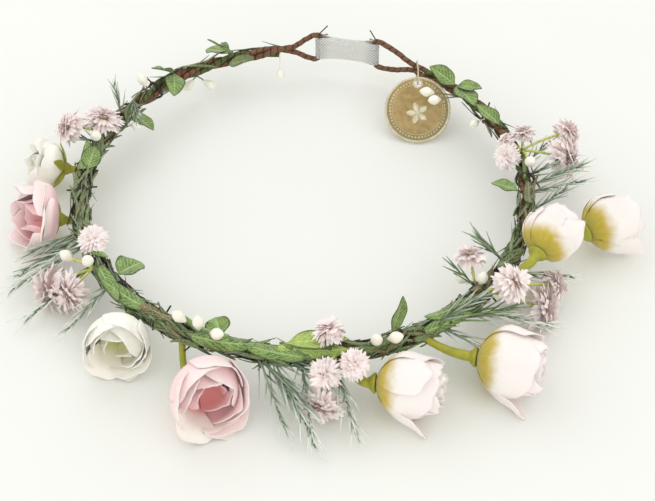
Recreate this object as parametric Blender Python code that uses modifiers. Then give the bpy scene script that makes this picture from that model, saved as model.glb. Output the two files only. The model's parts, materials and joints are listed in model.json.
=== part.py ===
"""A flower crown: a twisted wire hoop in two halves, an elastic strap across the back, artificial flowers and a tag.

The origin is the hoop's centre on the surface that the crown rests on. +Z is up and +Y runs to the strap.
Sizes are in millimetres and angles in degrees. An angle round the hoop runs from +X, so its front is at -90.
"""

import math
from collections import namedtuple

import bmesh
import bpy
from mathutils import Matrix, Vector

MM = 0.001

# Hoop: three strands twisted together, in two halves that meet at the front.
HOOP_R = 92.0
HOOP_Z = 17.0
STRAND_R = 1.1
STRAND_CLEARANCE = 0.74
TWIST_R = (STRAND_R + STRAND_CLEARANCE / 2) / math.sin(math.radians(60))
TWIST_PITCH = 40.0
TWIST_STEPS = 6
VINE_R = TWIST_R + STRAND_R
FRONT_GAP = 1.0
GAP = 0.45

# Elastic strap, folded round the upright bar at the end of each half's loop.
STRAP_WIDTH = 12.0
STRAP_THICK = 1.6
STRAP_CLEARANCE = 0.5
BAR_OUT = 2.5
BAR_X = {"left": -12.2, "right": 13.2}
APEX = {"left": 105.0, "right": 69.0}
LOOP_HALF = STRAP_WIDTH / 2 + STRAND_R + STRAP_CLEARANCE
EYE_R = STRAND_R + 0.35
EYE_WALL = 0.85
TRIMMED_STEM = 3.0

# Binding wire coils.
COIL_WIRE_R = 0.35
COIL_R = VINE_R + COIL_WIRE_R + 0.4
COIL_PITCH = 1.1
COIL_TURNS = 2.25
COIL_STEPS = 9
COIL_ANGLES = (-166.0, -128.5, -115.2, -87.0, -42.4)

# Roses: each head turns on the peg of its stem, above the calyx.
PEG_R = 1.2
PEG_LENGTH = 4.2
SOCKET_R = PEG_R + 0.1
SOCKET_DEPTH = PEG_LENGTH + 0.8
CALYX_LENGTH = 4.0
CALYX_R = 2.9
HEAD_GAP = 0.35
ROSE_STEM_R = 1.1
HEAD_STEPS = 16
# Shares of a head's radius and depth, from its middle in front to its narrow back.
HEAD_OUTLINE = (
    (0.0, 0.88), (0.3, 0.93), (0.62, 1.0), (0.9, 0.92), (1.0, 0.74),
    (0.97, 0.53), (0.82, 0.3), (0.52, 0.1), (0.24, 0.0),
)

# Rose 7 lies over rose 8's stem, so it goes part of the way down with it.
STEM_DROP_SHARE = 0.3
ROSE_7_OVER_STEM = 10.37

Rose = namedtuple("Rose", "slot angle out rise azimuth elevation radius depth root_angle root_side")
# Out is from the hoop's centreline and rise from its height. With no rise, the piece stands on the surface.
ROSES = {
    "rose_1": Rose("petal_pink", -161.5, 19.3, None, -166, 12, 13.7, 20.0, -155.0, -35),
    "rose_2": Rose("petal_cream", -178.0, 21.5, None, 187, 8, 12.9, 19.0, -178.0, -30),
    "rose_3": Rose("petal_cream", -118.5, 16.1, None, -71, 22, 14.6, 20.0, -121.5, -40),
    "rose_4": Rose("petal_pink", -96.0, 20.7, None, -42, 30, 15.5, 21.0, -108.0, -20),
    "rose_5": Rose("petal_white", -58.5, 19.0, None, 2, 4, 14.5, 22.0, -68.0, -20),
    "rose_6": Rose("petal_white", -39.5, 28.2, None, -4, 4, 14.5, 22.0, -51.0, -15),
    "rose_7": Rose("petal_white", -10.5, 12.5, ROSE_7_OVER_STEM, 66, 10, 12.5, 20.0, -24.5, 70),
    "rose_8": Rose("petal_white", 2.5, 34.0, None, 39, 4, 14.5, 22.0, -7.0, -20),
}

# Tag, leaning with its foot on the surface, and the thread that ties it to the hoop.
TAG_R = 15.0
TAG_THICK = 1.2
TAG_HOLE_R = 1.6
TAG_HOLE_INSET = 3.2
TAG_LEAN = 45.0
TAG_TOWARDS = -80.0
THREAD_R = 0.4
THREAD_ANGLE = 68.0
THREAD_OUT = 12.6
THREAD_SKEW = TAG_TOWARDS - (THREAD_ANGLE - 180.0)
THREAD_BEND_R = VINE_R / math.cos(math.radians(THREAD_SKEW)) + THREAD_R + 0.5
# The leaves and berries beside the tag are rooted clear of its edge.
TAG_SIDE_CLEARANCE = 7.48
BESIDE_TAG = THREAD_ANGLE - math.degrees((TAG_R + TAG_SIDE_CLEARANCE) / HOOP_R)

# Sprays of small heads on thin stems.
SPRAY_STEM_R = 0.6
Spray = namedtuple("Spray", "slot root_angle root_side heads")
Head = namedtuple("Head", "angle out rise radius half")
FLUFF, BERRY = "filler_blush", "berry_white"
SPRAYS = {
    "filler_spray_1": Spray(FLUFF, 172.0, 75, (
        Head(169.0, 1.0, 8.2, 6.8, 4.2), Head(174.5, 15.5, 7.0, 6.4, 6.0), Head(176.0, -0.3, 6.6, 2.5, 2.9),
    )),
    "filler_spray_2": Spray(FLUFF, -146.0, 90, (Head(-143.5, -1.8, 7.6, 5.2, 4.0),)),
    "filler_spray_3": Spray(FLUFF, -138.0, 20, (
        Head(-142.5, 22.5, None, 8.0, 8.0), Head(-137.0, 17.0, -5.5, 7.5, 7.0),
        Head(-143.5, 10.3, 3.0, 2.5, 2.9), Head(-138.0, 4.7, 6.0, 2.5, 2.9),
    )),
    "filler_spray_4": Spray(FLUFF, -70.5, 60, (
        Head(-72.5, -4.4, 10.2, 5.4, 4.4), Head(-74.5, 13.2, 3.0, 5.6, 5.2),
        Head(-67.5, 12.5, 6.5, 5.0, 4.6), Head(-75.5, 19.1, None, 7.2, 7.4),
    )),
    "filler_spray_5": Spray(FLUFF, -30.0, 160, (Head(-25.0, -11.9, 9.0, 5.4, 4.8),)),
    "filler_spray_6": Spray(FLUFF, -31.0, 60, (
        Head(-27.0, 11.7, 11.0, 6.8, 6.0), Head(-16.0, 21.3, -4.0, 5.2, 5.0), Head(-21.0, 22.6, None, 8.2, 8.4),
    )),
    "filler_spray_7": Spray(FLUFF, 22.5, 60, (
        Head(19.5, -7.6, 5.5, 5.0, 4.6), Head(26.5, 4.6, 8.6, 4.6, 4.2), Head(26.0, 26.2, 4.5, 5.4, 5.0),
        Head(19.5, 22.8, 0.5, 8.2, 7.6), Head(26.0, -5.1, 7.0, 3.4, 4.0), Head(15.5, 2.2, 6.8, 2.5, 2.9),
    )),
    "berry_sprig_1": Spray(BERRY, 134.0, -90, (
        Head(136.5, 1.0, -7.4, 2.5, 3.0), Head(131.5, -3.5, -7.4, 2.5, 3.0),
    )),
    "berry_sprig_2": Spray(BERRY, 151.0, 90, (Head(151.0, 2.2, 7.0, 2.5, 2.9),)),
    "berry_sprig_3": Spray(BERRY, -103.0, 90, (
        Head(-108.5, -0.8, 6.6, 2.5, 2.9), Head(-103.5, -0.9, 7.0, 2.5, 2.9), Head(-98.5, 1.0, 6.8, 2.5, 2.9),
    )),
    "berry_sprig_4": Spray(BERRY, -61.5, 80, (
        Head(-62.0, 3.7, 8.0, 2.5, 2.9), Head(-58.0, 4.5, 7.6, 2.5, 2.9),
    )),
    "berry_sprig_5": Spray(BERRY, -30.5, 110, (
        Head(-30.0, -0.8, 6.8, 2.5, 2.9), Head(-31.0, -8.6, 3.0, 2.5, 2.9),
    )),
    "berry_sprig_6": Spray(BERRY, BESIDE_TAG - 3.5, 165, (
        Head(BESIDE_TAG + 2.5, -15.4, 5.5, 2.4, 3.0), Head(BESIDE_TAG - 2.0, -16.9, 5.5, 2.4, 3.0),
    )),
}

# Leaves. Curl bends the tip up, or down if it is negative.
LEAF_THICK = 0.7
Leaf = namedtuple("Leaf", "root_angle root_side azimuth elevation length width roll curl")
LEAVES = {
    "leaf_spray_1": (
        Leaf(123.5, 80, 205, 48, 12.0, 5.5, 30, -0.1), Leaf(123.5, 80, 262, 50, 11.0, 5.0, -35, 0.1),
        Leaf(123.5, 80, 150, -8, 15.0, 8.5, 0, -0.25),
    ),
    "leaf_spray_2": (
        Leaf(141.0, 80, 232, 40, 13.0, 6.0, 30, -0.1), Leaf(141.0, 80, 290, 8, 15.0, 8.0, -20, -0.2),
    ),
    "leaf_3": (Leaf(161.0, 150, -25, -5, 13.0, 7.0, -15, -0.2),),
    "leaf_4": (Leaf(180.0, 110, 277, 8, 16.0, 7.0, -20, -0.15),),
    "leaf_5": (Leaf(-132.0, 135, 62, -8, 12.0, 10.0, 0, -0.3),),
    "leaf_6": (Leaf(-96.0, 160, 150, 0, 13.0, 7.5, 0, -0.1),),
    "leaf_7": (Leaf(-84.0, 115, 8, 3, 20.0, 6.5, 8, 0.0),),
    "leaf_8": (Leaf(-57.5, 100, 72, 50, 14.0, 6.0, 70, 0.0),),
    "leaf_spray_9": (
        Leaf(BESIDE_TAG, 110, 163, 30, 13.0, 8.0, -10, -0.1),
        Leaf(BESIDE_TAG, 110, -52, 10, 17.0, 9.5, 0, -0.1),
        Leaf(BESIDE_TAG, 110, -15, 14, 12.0, 6.0, 0, -0.05),
    ),
    "leaf_10": (Leaf(7.5, 150, 165, 5, 11.0, 6.5, 10, -0.2),),
    "leaf_11": (Leaf(33.0, 110, 150, 25, 13.0, 6.5, 0, -0.2),),
}

# Sprigs of needles in pairs along a thin stem.
NEEDLE_R = 0.42
Sprig = namedtuple("Sprig", "root_angle root_side azimuth elevation length pairs needle bend")
SPRIGS = {
    "needle_sprig_1": Sprig(157.0, 95, 285, 8, 12.0, 3, 5.5, 0.0),
    "needle_sprig_2": Sprig(-151.0, 15, 196, -10, 18.0, 4, 7.0, -0.1),
    "needle_sprig_3": Sprig(-86.5, -40, -52, -14, 19.0, 4, 6.5, 0.05),
    "needle_sprig_4": Sprig(-19.5, 115, 158, 38, 12.0, 3, 5.0, 0.0),
    "needle_sprig_5": Sprig(10.5, 30, 25, 10, 22.0, 4, 6.5, 0.1),
    "grass_sprig": Sprig(-46.0, 60, 35, 8, 20.0, 3, 8.0, 0.0),
}

SLOT_COLOURS = {
    "vine_paper": (0.42, 0.27, 0.19), "stem_green": (0.42, 0.46, 0.17), "elastic": (0.86, 0.85, 0.8),
    "binding_wire": (0.16, 0.14, 0.12), "petal_pink": (0.9, 0.68, 0.69), "petal_cream": (0.93, 0.92, 0.82),
    "petal_white": (0.94, 0.9, 0.86), "rose_stem": (0.55, 0.58, 0.16), "filler_blush": (0.91, 0.79, 0.77),
    "berry_white": (0.93, 0.92, 0.86), "leaf_green": (0.33, 0.45, 0.2), "leaf_lime": (0.55, 0.68, 0.24),
    "needle_sage": (0.4, 0.5, 0.38), "tag_kraft": (0.62, 0.53, 0.28), "thread_pale": (0.8, 0.77, 0.68),
}
UP = Vector((0, 0, 1))
pivots = {}


def direction(azimuth, elevation=0.0):
    a, e = math.radians(azimuth), math.radians(elevation)
    return Vector((math.cos(a) * math.cos(e), math.sin(a) * math.cos(e), math.sin(e)))


def hoop_point(angle, out=0.0, rise=0.0):
    return direction(angle) * (HOOP_R + out) + UP * (HOOP_Z + rise)


def beside_hoop(angle, side, radius):
    """A point beside the hoop, clear of it for a piece of this radius. Side 0 is outside it and 90 is above it."""
    away = VINE_R + radius + GAP
    s = math.radians(side)
    return hoop_point(angle, away * math.cos(s), away * math.sin(s))


def half_of(angle):
    """The half of the hoop that a piece at this angle belongs to."""
    return "right_half" if -90 <= angle < 90 else "left_half"


def pose(point, along, towards):
    """A matrix at this point, in metres, whose Z is along and whose X is as near towards as it can be."""
    x = (towards - along * towards.dot(along)).normalized()
    turned = Matrix((x, along.cross(x), along)).transposed().to_4x4()
    return Matrix.Translation(point * MM) @ turned


def material_of(slot):
    material = bpy.data.materials.get(slot)
    if material is None:
        material = bpy.data.materials.new(slot)
        material.use_nodes = True
        shader = material.node_tree.nodes["Principled BSDF"]
        shader.inputs["Base Color"].default_value = (*SLOT_COLOURS[slot], 1)
        shader.inputs["Roughness"].default_value = 0.6
    return material


def add_object(name, data, matrix=None, slot=None, body=None):
    """Links a piece of the crown under its body's empty, or a helper if it has no slot."""
    obj = bpy.data.objects.new(name, data)
    bpy.data.collections["flower_crown" if slot else "helpers"].objects.link(obj)
    if matrix is not None:
        obj.matrix_world = matrix
    if slot:
        data.materials.clear()
        data.materials.append(material_of(slot))
        world = obj.matrix_world.copy()
        obj.parent = pivots[body]
        obj.matrix_parent_inverse = pivots[body].matrix_world.inverted()
        obj.matrix_world = world
    return obj


def add_wire(name, points, radius, resolution, slot=None, body=None, taper=None, closed=False):
    curve = bpy.data.curves.new(name, "CURVE")
    curve.dimensions = "3D"
    curve.bevel_depth, curve.bevel_resolution = radius * MM, resolution
    curve.use_fill_caps = True
    spline = curve.splines.new("POLY")
    spline.points.add(len(points) - 1)
    spline.use_cyclic_u = closed
    for i, (knot, point) in enumerate(zip(spline.points, points)):
        knot.co = (*(point * MM), 1)
        knot.radius = 1 if taper is None else 1 + (taper - 1) * i / (len(points) - 1)
    return add_object(name, curve, None, slot, body)


def add_turned(name, profile, steps, matrix, slot=None, body=None):
    """A solid of revolution. Its profile is (radius, height) from the top down, along the outside."""
    mesh = bpy.data.meshes.new(name)
    points = [Vector((radius, 0, height)) * MM for radius, height in profile]
    mesh.from_pydata(points, [(i, i + 1) for i in range(len(points) - 1)], [])
    obj = add_object(name, mesh, matrix, slot, body)
    screw = obj.modifiers.new("turn", "SCREW")
    screw.steps = screw.render_steps = steps
    screw.use_merge_vertices, screw.merge_threshold = True, 1e-5
    return obj


def add_primitive(name, make, matrix, slot=None, body=None):
    """A piece from one of bmesh's primitives, which make draws in millimetres."""
    work = bmesh.new()
    make(work)
    bmesh.ops.scale(work, vec=(MM, MM, MM), verts=work.verts)
    mesh = bpy.data.meshes.new(name)
    work.to_mesh(mesh)
    work.free()
    return add_object(name, mesh, matrix, slot, body)


def add_ball(name, centre, radius, half):
    def make(work):
        bmesh.ops.create_uvsphere(work, u_segments=8, v_segments=4, radius=1.0)
        bmesh.ops.scale(work, vec=(radius, radius, half), verts=work.verts)

    return add_primitive(name, make, Matrix.Translation(centre * MM))


def curve_between(start, control, end, steps):
    found = []
    for i in range(steps + 1):
        t = i / steps
        found.append(start * (1 - t) ** 2 + control * (2 * t * (1 - t)) + end * t**2)
    return found


def as_mesh(obj):
    """The piece as a helper object that holds its evaluated mesh, with points that meet made one."""
    bpy.context.view_layer.update()
    graph = bpy.context.evaluated_depsgraph_get()
    mesh = bpy.data.meshes.new_from_object(obj.evaluated_get(graph))
    work = bmesh.new()
    work.from_mesh(mesh)
    bmesh.ops.remove_doubles(work, verts=work.verts, dist=1e-6)
    work.to_mesh(mesh)
    work.free()
    name, matrix = obj.name, obj.matrix_world.copy()
    bpy.data.objects.remove(obj)
    return add_object(name, mesh, matrix)


def combine(name, base, others, operation, slot, body):
    """One solid of this name from base and the others, which are used up."""
    base = as_mesh(base)
    others = [as_mesh(other) for other in others]
    for other in others:
        step = base.modifiers.new(other.name, "BOOLEAN")
        step.operation, step.solver, step.object = operation, "EXACT", other
    result = as_mesh(base)
    for other in others:
        bpy.data.objects.remove(other)
    mesh, matrix = result.data, result.matrix_world.copy()
    bpy.data.objects.remove(result)
    mesh.name = name
    return add_object(name, mesh, matrix, slot, body)


def clear_scene():
    for obj in list(bpy.data.objects):
        bpy.data.objects.remove(obj)
    for name in ("flower_crown", "helpers"):
        collection = bpy.data.collections.new(name)
        bpy.context.scene.collection.children.link(collection)


def add_pivots():
    """One empty for each body: the right half spreads about an upright axis at the front."""
    tag_pivot = pose(hoop_point(THREAD_ANGLE), UP, direction(TAG_TOWARDS))
    matrices = {
        "left_half": Matrix.Identity(4),
        "right_half": Matrix.Translation(Vector((0, -HOOP_R, 0)) * MM),
        "tag_thread_body": tag_pivot,
    }
    for name, matrix in matrices.items():
        empty = bpy.data.objects.new(name, None)
        bpy.data.collections["flower_crown"].objects.link(empty)
        empty.matrix_world = matrix
        pivots[name] = empty
    bpy.context.view_layer.update()


def twisted_run(side, phase, trim=0.0):
    """A strand's centreline from the front to the apex of its half's loop, less a length trimmed off there."""
    sign = -1 if side == "left" else 1
    front = -90.0 + sign * math.degrees(FRONT_GAP / HOOP_R)
    apex = APEX[side] - (360.0 if side == "left" else 0.0)
    length = abs(math.radians(apex - front)) * HOOP_R
    count = round(length / TWIST_PITCH * TWIST_STEPS)
    found = []
    for i in range(count + 1):
        s = (length - trim) * i / count
        turn = math.radians(phase) + math.tau * (length - s) / TWIST_PITCH
        angle = front + sign * math.degrees(s / HOOP_R)
        found.append(hoop_point(angle, TWIST_R * math.cos(turn), TWIST_R * math.sin(turn)))
    return found


def add_vine(side):
    """The doubled wire: up one strand, round the end loop and its upright bar, and back down the other strand."""
    apex, bar = hoop_point(APEX[side]), Vector((BAR_X[side], HOOP_R + BAR_OUT, HOOP_Z))
    along = bar - apex
    out, span = direction(APEX[side]), along.length
    corner = 1.5 / span
    leg = [(0.2, 0.38, 0.6), (0.42, 0.65, 0.3), (0.66, 0.86, 0.1), (0.86, 0.97, 0.0)]
    leg = [(t, v * LOOP_HALF, u) for t, v, u in leg if t < 0.94 - corner]
    leg += [(1 - corner, LOOP_HALF, 0.0), (1 - corner * 0.3, LOOP_HALF - 0.35, 0.0), (1, LOOP_HALF - 1.3, 0.0)]
    upper = [apex + along * t + out * u + UP * v for t, v, u in leg]
    lower = [apex + along * t + out * u - UP * v for t, v, u in reversed(leg)]
    path = twisted_run(side, 60) + upper + [bar] + lower + list(reversed(twisted_run(side, -60)))
    body = f"{side}_half"
    add_wire(f"vine_wire_{side}", path, STRAND_R, 1, "vine_paper", body)
    add_wire(f"garland_stem_{side}", twisted_run(side, 180, TRIMMED_STEM), STRAND_R, 1, "stem_green", body)


def add_strap():
    """A band of two layers, open round each upright bar."""
    outer, half, y = EYE_R + EYE_WALL, STRAP_THICK / 2, HOOP_R + BAR_OUT
    x0, x1 = BAR_X["left"], BAR_X["right"]
    near = outer + 1.3

    def arc(x, radius, first, sweep, count):
        steps = [math.radians(first + sweep * k / count) for k in range(count + 1)]
        return [(x + radius * math.cos(a), y + radius * math.sin(a)) for a in steps]

    outline = arc(x0, outer, 50, 260, 8) + [(x0 + near, y - half), (x1 - near, y - half)]
    outline += arc(x1, outer, 230, 260, 8) + [(x1 - near, y + half), (x0 + near, y + half)]
    loops = [outline] + [arc(x, EYE_R, 0, 324, 9) for x in (x0, x1)]
    curve = bpy.data.curves.new("elastic_strap", "CURVE")
    curve.dimensions, curve.fill_mode, curve.extrude = "2D", "BOTH", STRAP_WIDTH / 2 * MM
    for loop in loops:
        spline = curve.splines.new("POLY")
        spline.points.add(len(loop) - 1)
        spline.use_cyclic_u = True
        for knot, (px, py) in zip(spline.points, loop):
            knot.co = (px * MM, py * MM, 0, 1)
    add_object("elastic_strap", curve, Matrix.Translation(UP * HOOP_Z * MM), "elastic", "left_half")


def add_coil(name, angle):
    count = round(COIL_TURNS * COIL_STEPS)
    along = direction(angle).cross(UP)
    points = []
    for i in range(count + 1):
        a = math.tau * i / COIL_STEPS
        shift = (i / COIL_STEPS - COIL_TURNS / 2) * COIL_PITCH
        points.append(hoop_point(angle, COIL_R * math.cos(a), COIL_R * math.sin(a)) + along * shift)
    add_wire(name, points, COIL_WIRE_R, 0, "binding_wire", half_of(angle))


def head_outline(rose):
    return [(r * rose.radius, (h - 0.5) * rose.depth) for r, h in HEAD_OUTLINE]


def head_rise(rose):
    """How far the head's middle is above the hoop's centreline."""
    if rose.rise is not None:
        return rose.rise + STEM_DROP_SHARE * head_rise(ROSES["rose_8"])
    e = math.radians(rose.elevation)
    return max(r * math.cos(e) - h * math.sin(e) for r, h in head_outline(rose)) - HOOP_Z


def add_rose(name, rose):
    along = direction(rose.azimuth, rose.elevation)
    outline = head_outline(rose)
    centre = hoop_point(rose.angle, rose.out, head_rise(rose))
    matrix = pose(centre, along, -UP)
    body = half_of(rose.angle)
    base = -rose.depth / 2
    socket = [(SOCKET_R, base), (SOCKET_R, base + SOCKET_DEPTH), (0, base + SOCKET_DEPTH)]
    add_turned(f"{name}_head", outline + socket, HEAD_STEPS, matrix, rose.slot, body)

    cup = base - HEAD_GAP
    low = cup - CALYX_LENGTH
    calyx = [
        (0, base + PEG_LENGTH), (PEG_R, base + PEG_LENGTH), (PEG_R, cup), (CALYX_R, cup), (CALYX_R, cup - 0.6),
        (CALYX_R * 0.75, low + 1.6), (ROSE_STEM_R, low), (0, low),
    ]
    turned = add_turned(f"{name}_calyx", calyx, 8, matrix)
    root = beside_hoop(rose.root_angle, rose.root_side, ROSE_STEM_R)
    end = centre + along * (low + 1.0)
    control = end - along * ((end - root).length * 0.45)
    stem = add_wire(f"{name}_wire", curve_between(root, control, end, 4), ROSE_STEM_R * 0.97, 1)
    combine(f"{name}_stem", turned, [stem], "UNION", "rose_stem", body)


def add_spray(name, spray):
    root = beside_hoop(spray.root_angle, spray.root_side, SPRAY_STEM_R)
    pieces = []
    for k, head in enumerate(spray.heads):
        rise = head.half - HOOP_Z if head.rise is None else head.rise
        point = hoop_point(head.angle, head.out, rise)
        arch = UP * (2.0 + 0.25 * (point - root).length)
        control = (root + point) / 2 + (arch if rise < 6 and spray.root_side > 45 else arch * 0.3)
        pieces.append(add_wire(f"{name}_stem_{k}", curve_between(root, control, point, 3), SPRAY_STEM_R, 0))
        pieces.append(add_ball(f"{name}_ball_{k}", point, head.radius, head.half))
    combine(name, pieces[0], pieces[1:], "UNION", spray.slot, half_of(spray.root_angle))


def add_blade(name, root, leaf):
    """A leaf: a grid drawn to its outline, folded a little along its middle and given a thickness."""
    along = direction(leaf.azimuth, leaf.elevation)
    normal = Matrix.Rotation(math.radians(leaf.roll), 3, along) @ along.cross(UP.cross(along)).normalized()

    def make(work):
        bmesh.ops.create_grid(work, x_segments=5, y_segments=2, size=0.5)
        for vert in work.verts:
            t, side = vert.co.x + 0.5, vert.co.y
            width = leaf.width * (0.14 + 0.86 * math.sin(math.pi * t) ** 0.8)
            lift = 0.3 * abs(side) * width + leaf.curl * leaf.length * t * t
            vert.co = (t * leaf.length, side * width, lift)

    blade = add_primitive(name, make, pose(root, normal, along))
    shell = blade.modifiers.new("thickness", "SOLIDIFY")
    shell.thickness, shell.offset = LEAF_THICK * MM, 0
    return blade


def add_leaves(name, leaves):
    first = leaves[0]
    root = beside_hoop(first.root_angle, first.root_side, LEAF_THICK)
    blades = [add_blade(f"{name}_blade_{k}", root, leaf) for k, leaf in enumerate(leaves)]
    if len(blades) > 1:
        blades.append(add_ball(f"{name}_bud", root, 1.0, 1.0))
    slot = "leaf_lime" if name == "leaf_7" else "leaf_green"
    combine(name, blades[0], blades[1:], "UNION", slot, half_of(first.root_angle))


def add_sprig(name, sprig):
    root = beside_hoop(sprig.root_angle, sprig.root_side, SPRAY_STEM_R)
    along = direction(sprig.azimuth, sprig.elevation)
    across = UP.cross(along).normalized()
    reach, bend = along * sprig.length, UP * (sprig.bend * sprig.length)
    run = curve_between(root, root + reach / 2, root + reach + bend, 4)
    stem = add_wire(f"{name}_stem", run, SPRAY_STEM_R, 1, taper=0.4)
    needles = []
    for k in range(sprig.pairs):
        for side in (1, -1):
            t = 0.25 + 0.6 * k / (sprig.pairs - 1) + 0.04 * side
            start = root + reach * t + bend * t * t
            size = sprig.needle * (1 - 0.35 * t)
            lean = (along * 0.78 + across * (0.6 * side) + UP * (0.18 * (-1) ** k)).normalized()

            def make(work, size=size):
                bmesh.ops.create_cone(work, cap_ends=True, segments=4, radius1=NEEDLE_R, radius2=0.14, depth=size)

            matrix = pose(start + lean * (size / 2), lean, UP)
            needles.append(add_primitive(f"{name}_needle_{k}_{side}", make, matrix))
    combine(name, stem, needles, "UNION", "needle_sage", half_of(sprig.root_angle))


def add_tag():
    """The tag leans on its foot. Its thread goes round the hoop and through the hole near its top."""
    eye, out = hoop_point(THREAD_ANGLE), direction(TAG_TOWARDS)
    lean = math.radians(TAG_LEAN)
    down = out * math.cos(lean) - UP * math.sin(lean)
    normal = out * math.sin(lean) + UP * math.cos(lean)
    reach = TAG_R - TAG_HOLE_INSET
    height = (reach + TAG_R) * math.sin(lean) + TAG_THICK / 2 * math.cos(lean)
    hole = eye + out * THREAD_OUT + UP * (height - HOOP_Z)

    def make_disc(work):
        bmesh.ops.create_cone(
            work, cap_ends=True, segments=32, radius1=TAG_R, radius2=TAG_R, depth=TAG_THICK
        )
        bmesh.ops.translate(work, vec=(reach, 0, 0), verts=work.verts)

    def make_cutter(work):
        bmesh.ops.create_cone(
            work, cap_ends=True, segments=12, radius1=TAG_HOLE_R, radius2=TAG_HOLE_R, depth=TAG_THICK * 5
        )

    matrix = pose(hole, normal, down)
    disc, cutter = add_primitive("tag_disc", make_disc, matrix), add_primitive("tag_hole", make_cutter, matrix)
    combine("tag", disc, [cutter], "DIFFERENCE", "tag_kraft", "tag_thread_body")

    rise = hole.z - HOOP_Z
    ring = [math.radians(a) for a in range(70, 291, 20)]
    path = [(THREAD_BEND_R * math.cos(a), THREAD_BEND_R * math.sin(a)) for a in ring]
    # Through the hole along the tag's normal, then back over its top edge. Each is (along the normal, up the tag).
    for n, back in ((-2.4, 0.0), (0.0, 0.0), (2.4, 0.0), (2.6, 1.6), (1.6, 2.8)):
        x = THREAD_OUT + n * math.sin(lean) - back * math.cos(lean)
        path.append((x, rise + n * math.cos(lean) + back * math.sin(lean)))
    path.append((THREAD_OUT * 0.67, max(rise + 5.2, THREAD_BEND_R + 0.2)))
    points = [eye + out * x + UP * y for x, y in path]
    add_wire("tag_thread", points, THREAD_R, 1, "thread_pale", "tag_thread_body", closed=True)


def main():
    clear_scene()
    add_pivots()
    for side in ("left", "right"):
        add_vine(side)
    add_strap()
    for k, angle in enumerate(COIL_ANGLES, 1):
        add_coil(f"binding_wire_{k}", angle)
    for name, rose in ROSES.items():
        add_rose(name, rose)
    for name, spray in SPRAYS.items():
        add_spray(name, spray)
    for name, leaves in LEAVES.items():
        add_leaves(name, leaves)
    for name, sprig in SPRIGS.items():
        add_sprig(name, sprig)
    add_tag()
    bpy.data.collections["helpers"].hide_render = True


main()
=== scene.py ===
"""The looks of a flower crown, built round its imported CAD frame.

Shapes are worked out in millimetres and placed in the frame, which is in metres. +Z is up, and an angle round
the hoop runs from +X, so the crown's front is at -90 and its strap at +90.
"""

import json
import math
import random

import bmesh
import bpy
import numpy as np
from mathutils import Matrix, Vector, noise

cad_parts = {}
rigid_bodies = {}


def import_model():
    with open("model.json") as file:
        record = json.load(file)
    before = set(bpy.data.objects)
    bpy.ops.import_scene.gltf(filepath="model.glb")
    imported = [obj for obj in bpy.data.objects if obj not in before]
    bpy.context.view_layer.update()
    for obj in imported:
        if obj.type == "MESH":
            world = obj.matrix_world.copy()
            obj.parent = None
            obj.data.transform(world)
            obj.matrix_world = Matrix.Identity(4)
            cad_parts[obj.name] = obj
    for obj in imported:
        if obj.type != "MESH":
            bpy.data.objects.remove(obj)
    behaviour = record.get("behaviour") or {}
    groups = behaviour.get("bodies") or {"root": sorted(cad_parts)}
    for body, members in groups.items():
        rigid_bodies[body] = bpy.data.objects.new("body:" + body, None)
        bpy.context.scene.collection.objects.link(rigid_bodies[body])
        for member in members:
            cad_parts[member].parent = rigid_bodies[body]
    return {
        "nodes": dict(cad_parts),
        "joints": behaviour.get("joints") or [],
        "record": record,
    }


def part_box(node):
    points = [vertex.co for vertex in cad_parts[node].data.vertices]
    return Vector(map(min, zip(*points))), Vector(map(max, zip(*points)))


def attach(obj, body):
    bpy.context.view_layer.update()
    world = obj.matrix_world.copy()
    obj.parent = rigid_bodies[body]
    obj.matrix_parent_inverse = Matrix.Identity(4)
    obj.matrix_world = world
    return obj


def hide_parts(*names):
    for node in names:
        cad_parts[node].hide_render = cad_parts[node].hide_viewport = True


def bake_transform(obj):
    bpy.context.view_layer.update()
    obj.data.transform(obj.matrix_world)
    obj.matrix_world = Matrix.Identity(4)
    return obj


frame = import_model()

MM = 0.001
UP = Vector((0, 0, 1))
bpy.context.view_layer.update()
JOINTS = {joint["name"]: joint for joint in frame["joints"]}
SLOTS = {part["node"]: part["material_slot"] for part in frame["record"]["subparts"]}
BODY_OF = {node: body for body, nodes in frame["record"]["behaviour"]["bodies"].items() for node in nodes}

# The hoop, from the joint at its front and the CAD strands.
PIVOT = Vector(JOINTS["hoop_spread"]["pos_m"]) / MM
HOOP_R, HOOP_Z = -PIVOT.y, PIVOT.z
VINE_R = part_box("garland_stem_left")[1].z / MM - HOOP_Z
STRAND_R = 1.22
TWIST_R = VINE_R - STRAND_R
TWIST_TURNS = 13
APEX = {"left": -255.0, "right": 69.0}
FRONT_FROM, FRONT_TO = -114.0, -66.0
FLOOR_GAP = 0.2

# Thicknesses of sheets, and radii of wires and needles.
PETAL_THICK = 0.32
LEAF_THICK = 0.3
BLADE_THICK = 0.22
TIE_WIRE_R = 0.36
BERRY_WIRE_R = 0.32
LEAF_STEM_R = 0.5
NEEDLE_R = 0.4
BOUND_NEEDLE_R = 0.32


def direction(azimuth, elevation=0.0):
    a, e = math.radians(azimuth), math.radians(elevation)
    return Vector((math.cos(a) * math.cos(e), math.sin(a) * math.cos(e), math.sin(e)))


def hoop_point(angle, out=0.0, rise=0.0):
    return direction(angle) * (HOOP_R + out) + UP * (HOOP_Z + rise)


def angle_of(point):
    """The angle round the hoop of a point, between -260 and 100 degrees."""
    angle = math.degrees(math.atan2(point.y, point.x))
    return angle - 360.0 if angle > 100.0 else angle


def to_hoop(point):
    """The vector to this point from the nearest point of the hoop's centreline."""
    return point - hoop_point(angle_of(point))


def half_at(angle):
    return "left_half" if angle < -90 else "right_half"


def smooth(value, low, high):
    t = min(1.0, max(0.0, (value - low) / (high - low)))
    return t * t * (3 - 2 * t)


def basis(centre, along, towards):
    """A matrix at centre whose Z is along and whose X is as near towards as it can be."""
    x = (towards - along * towards.dot(along)).normalized()
    return Matrix.Translation(centre) @ Matrix((x, along.cross(x), along)).transposed().to_4x4()


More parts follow.
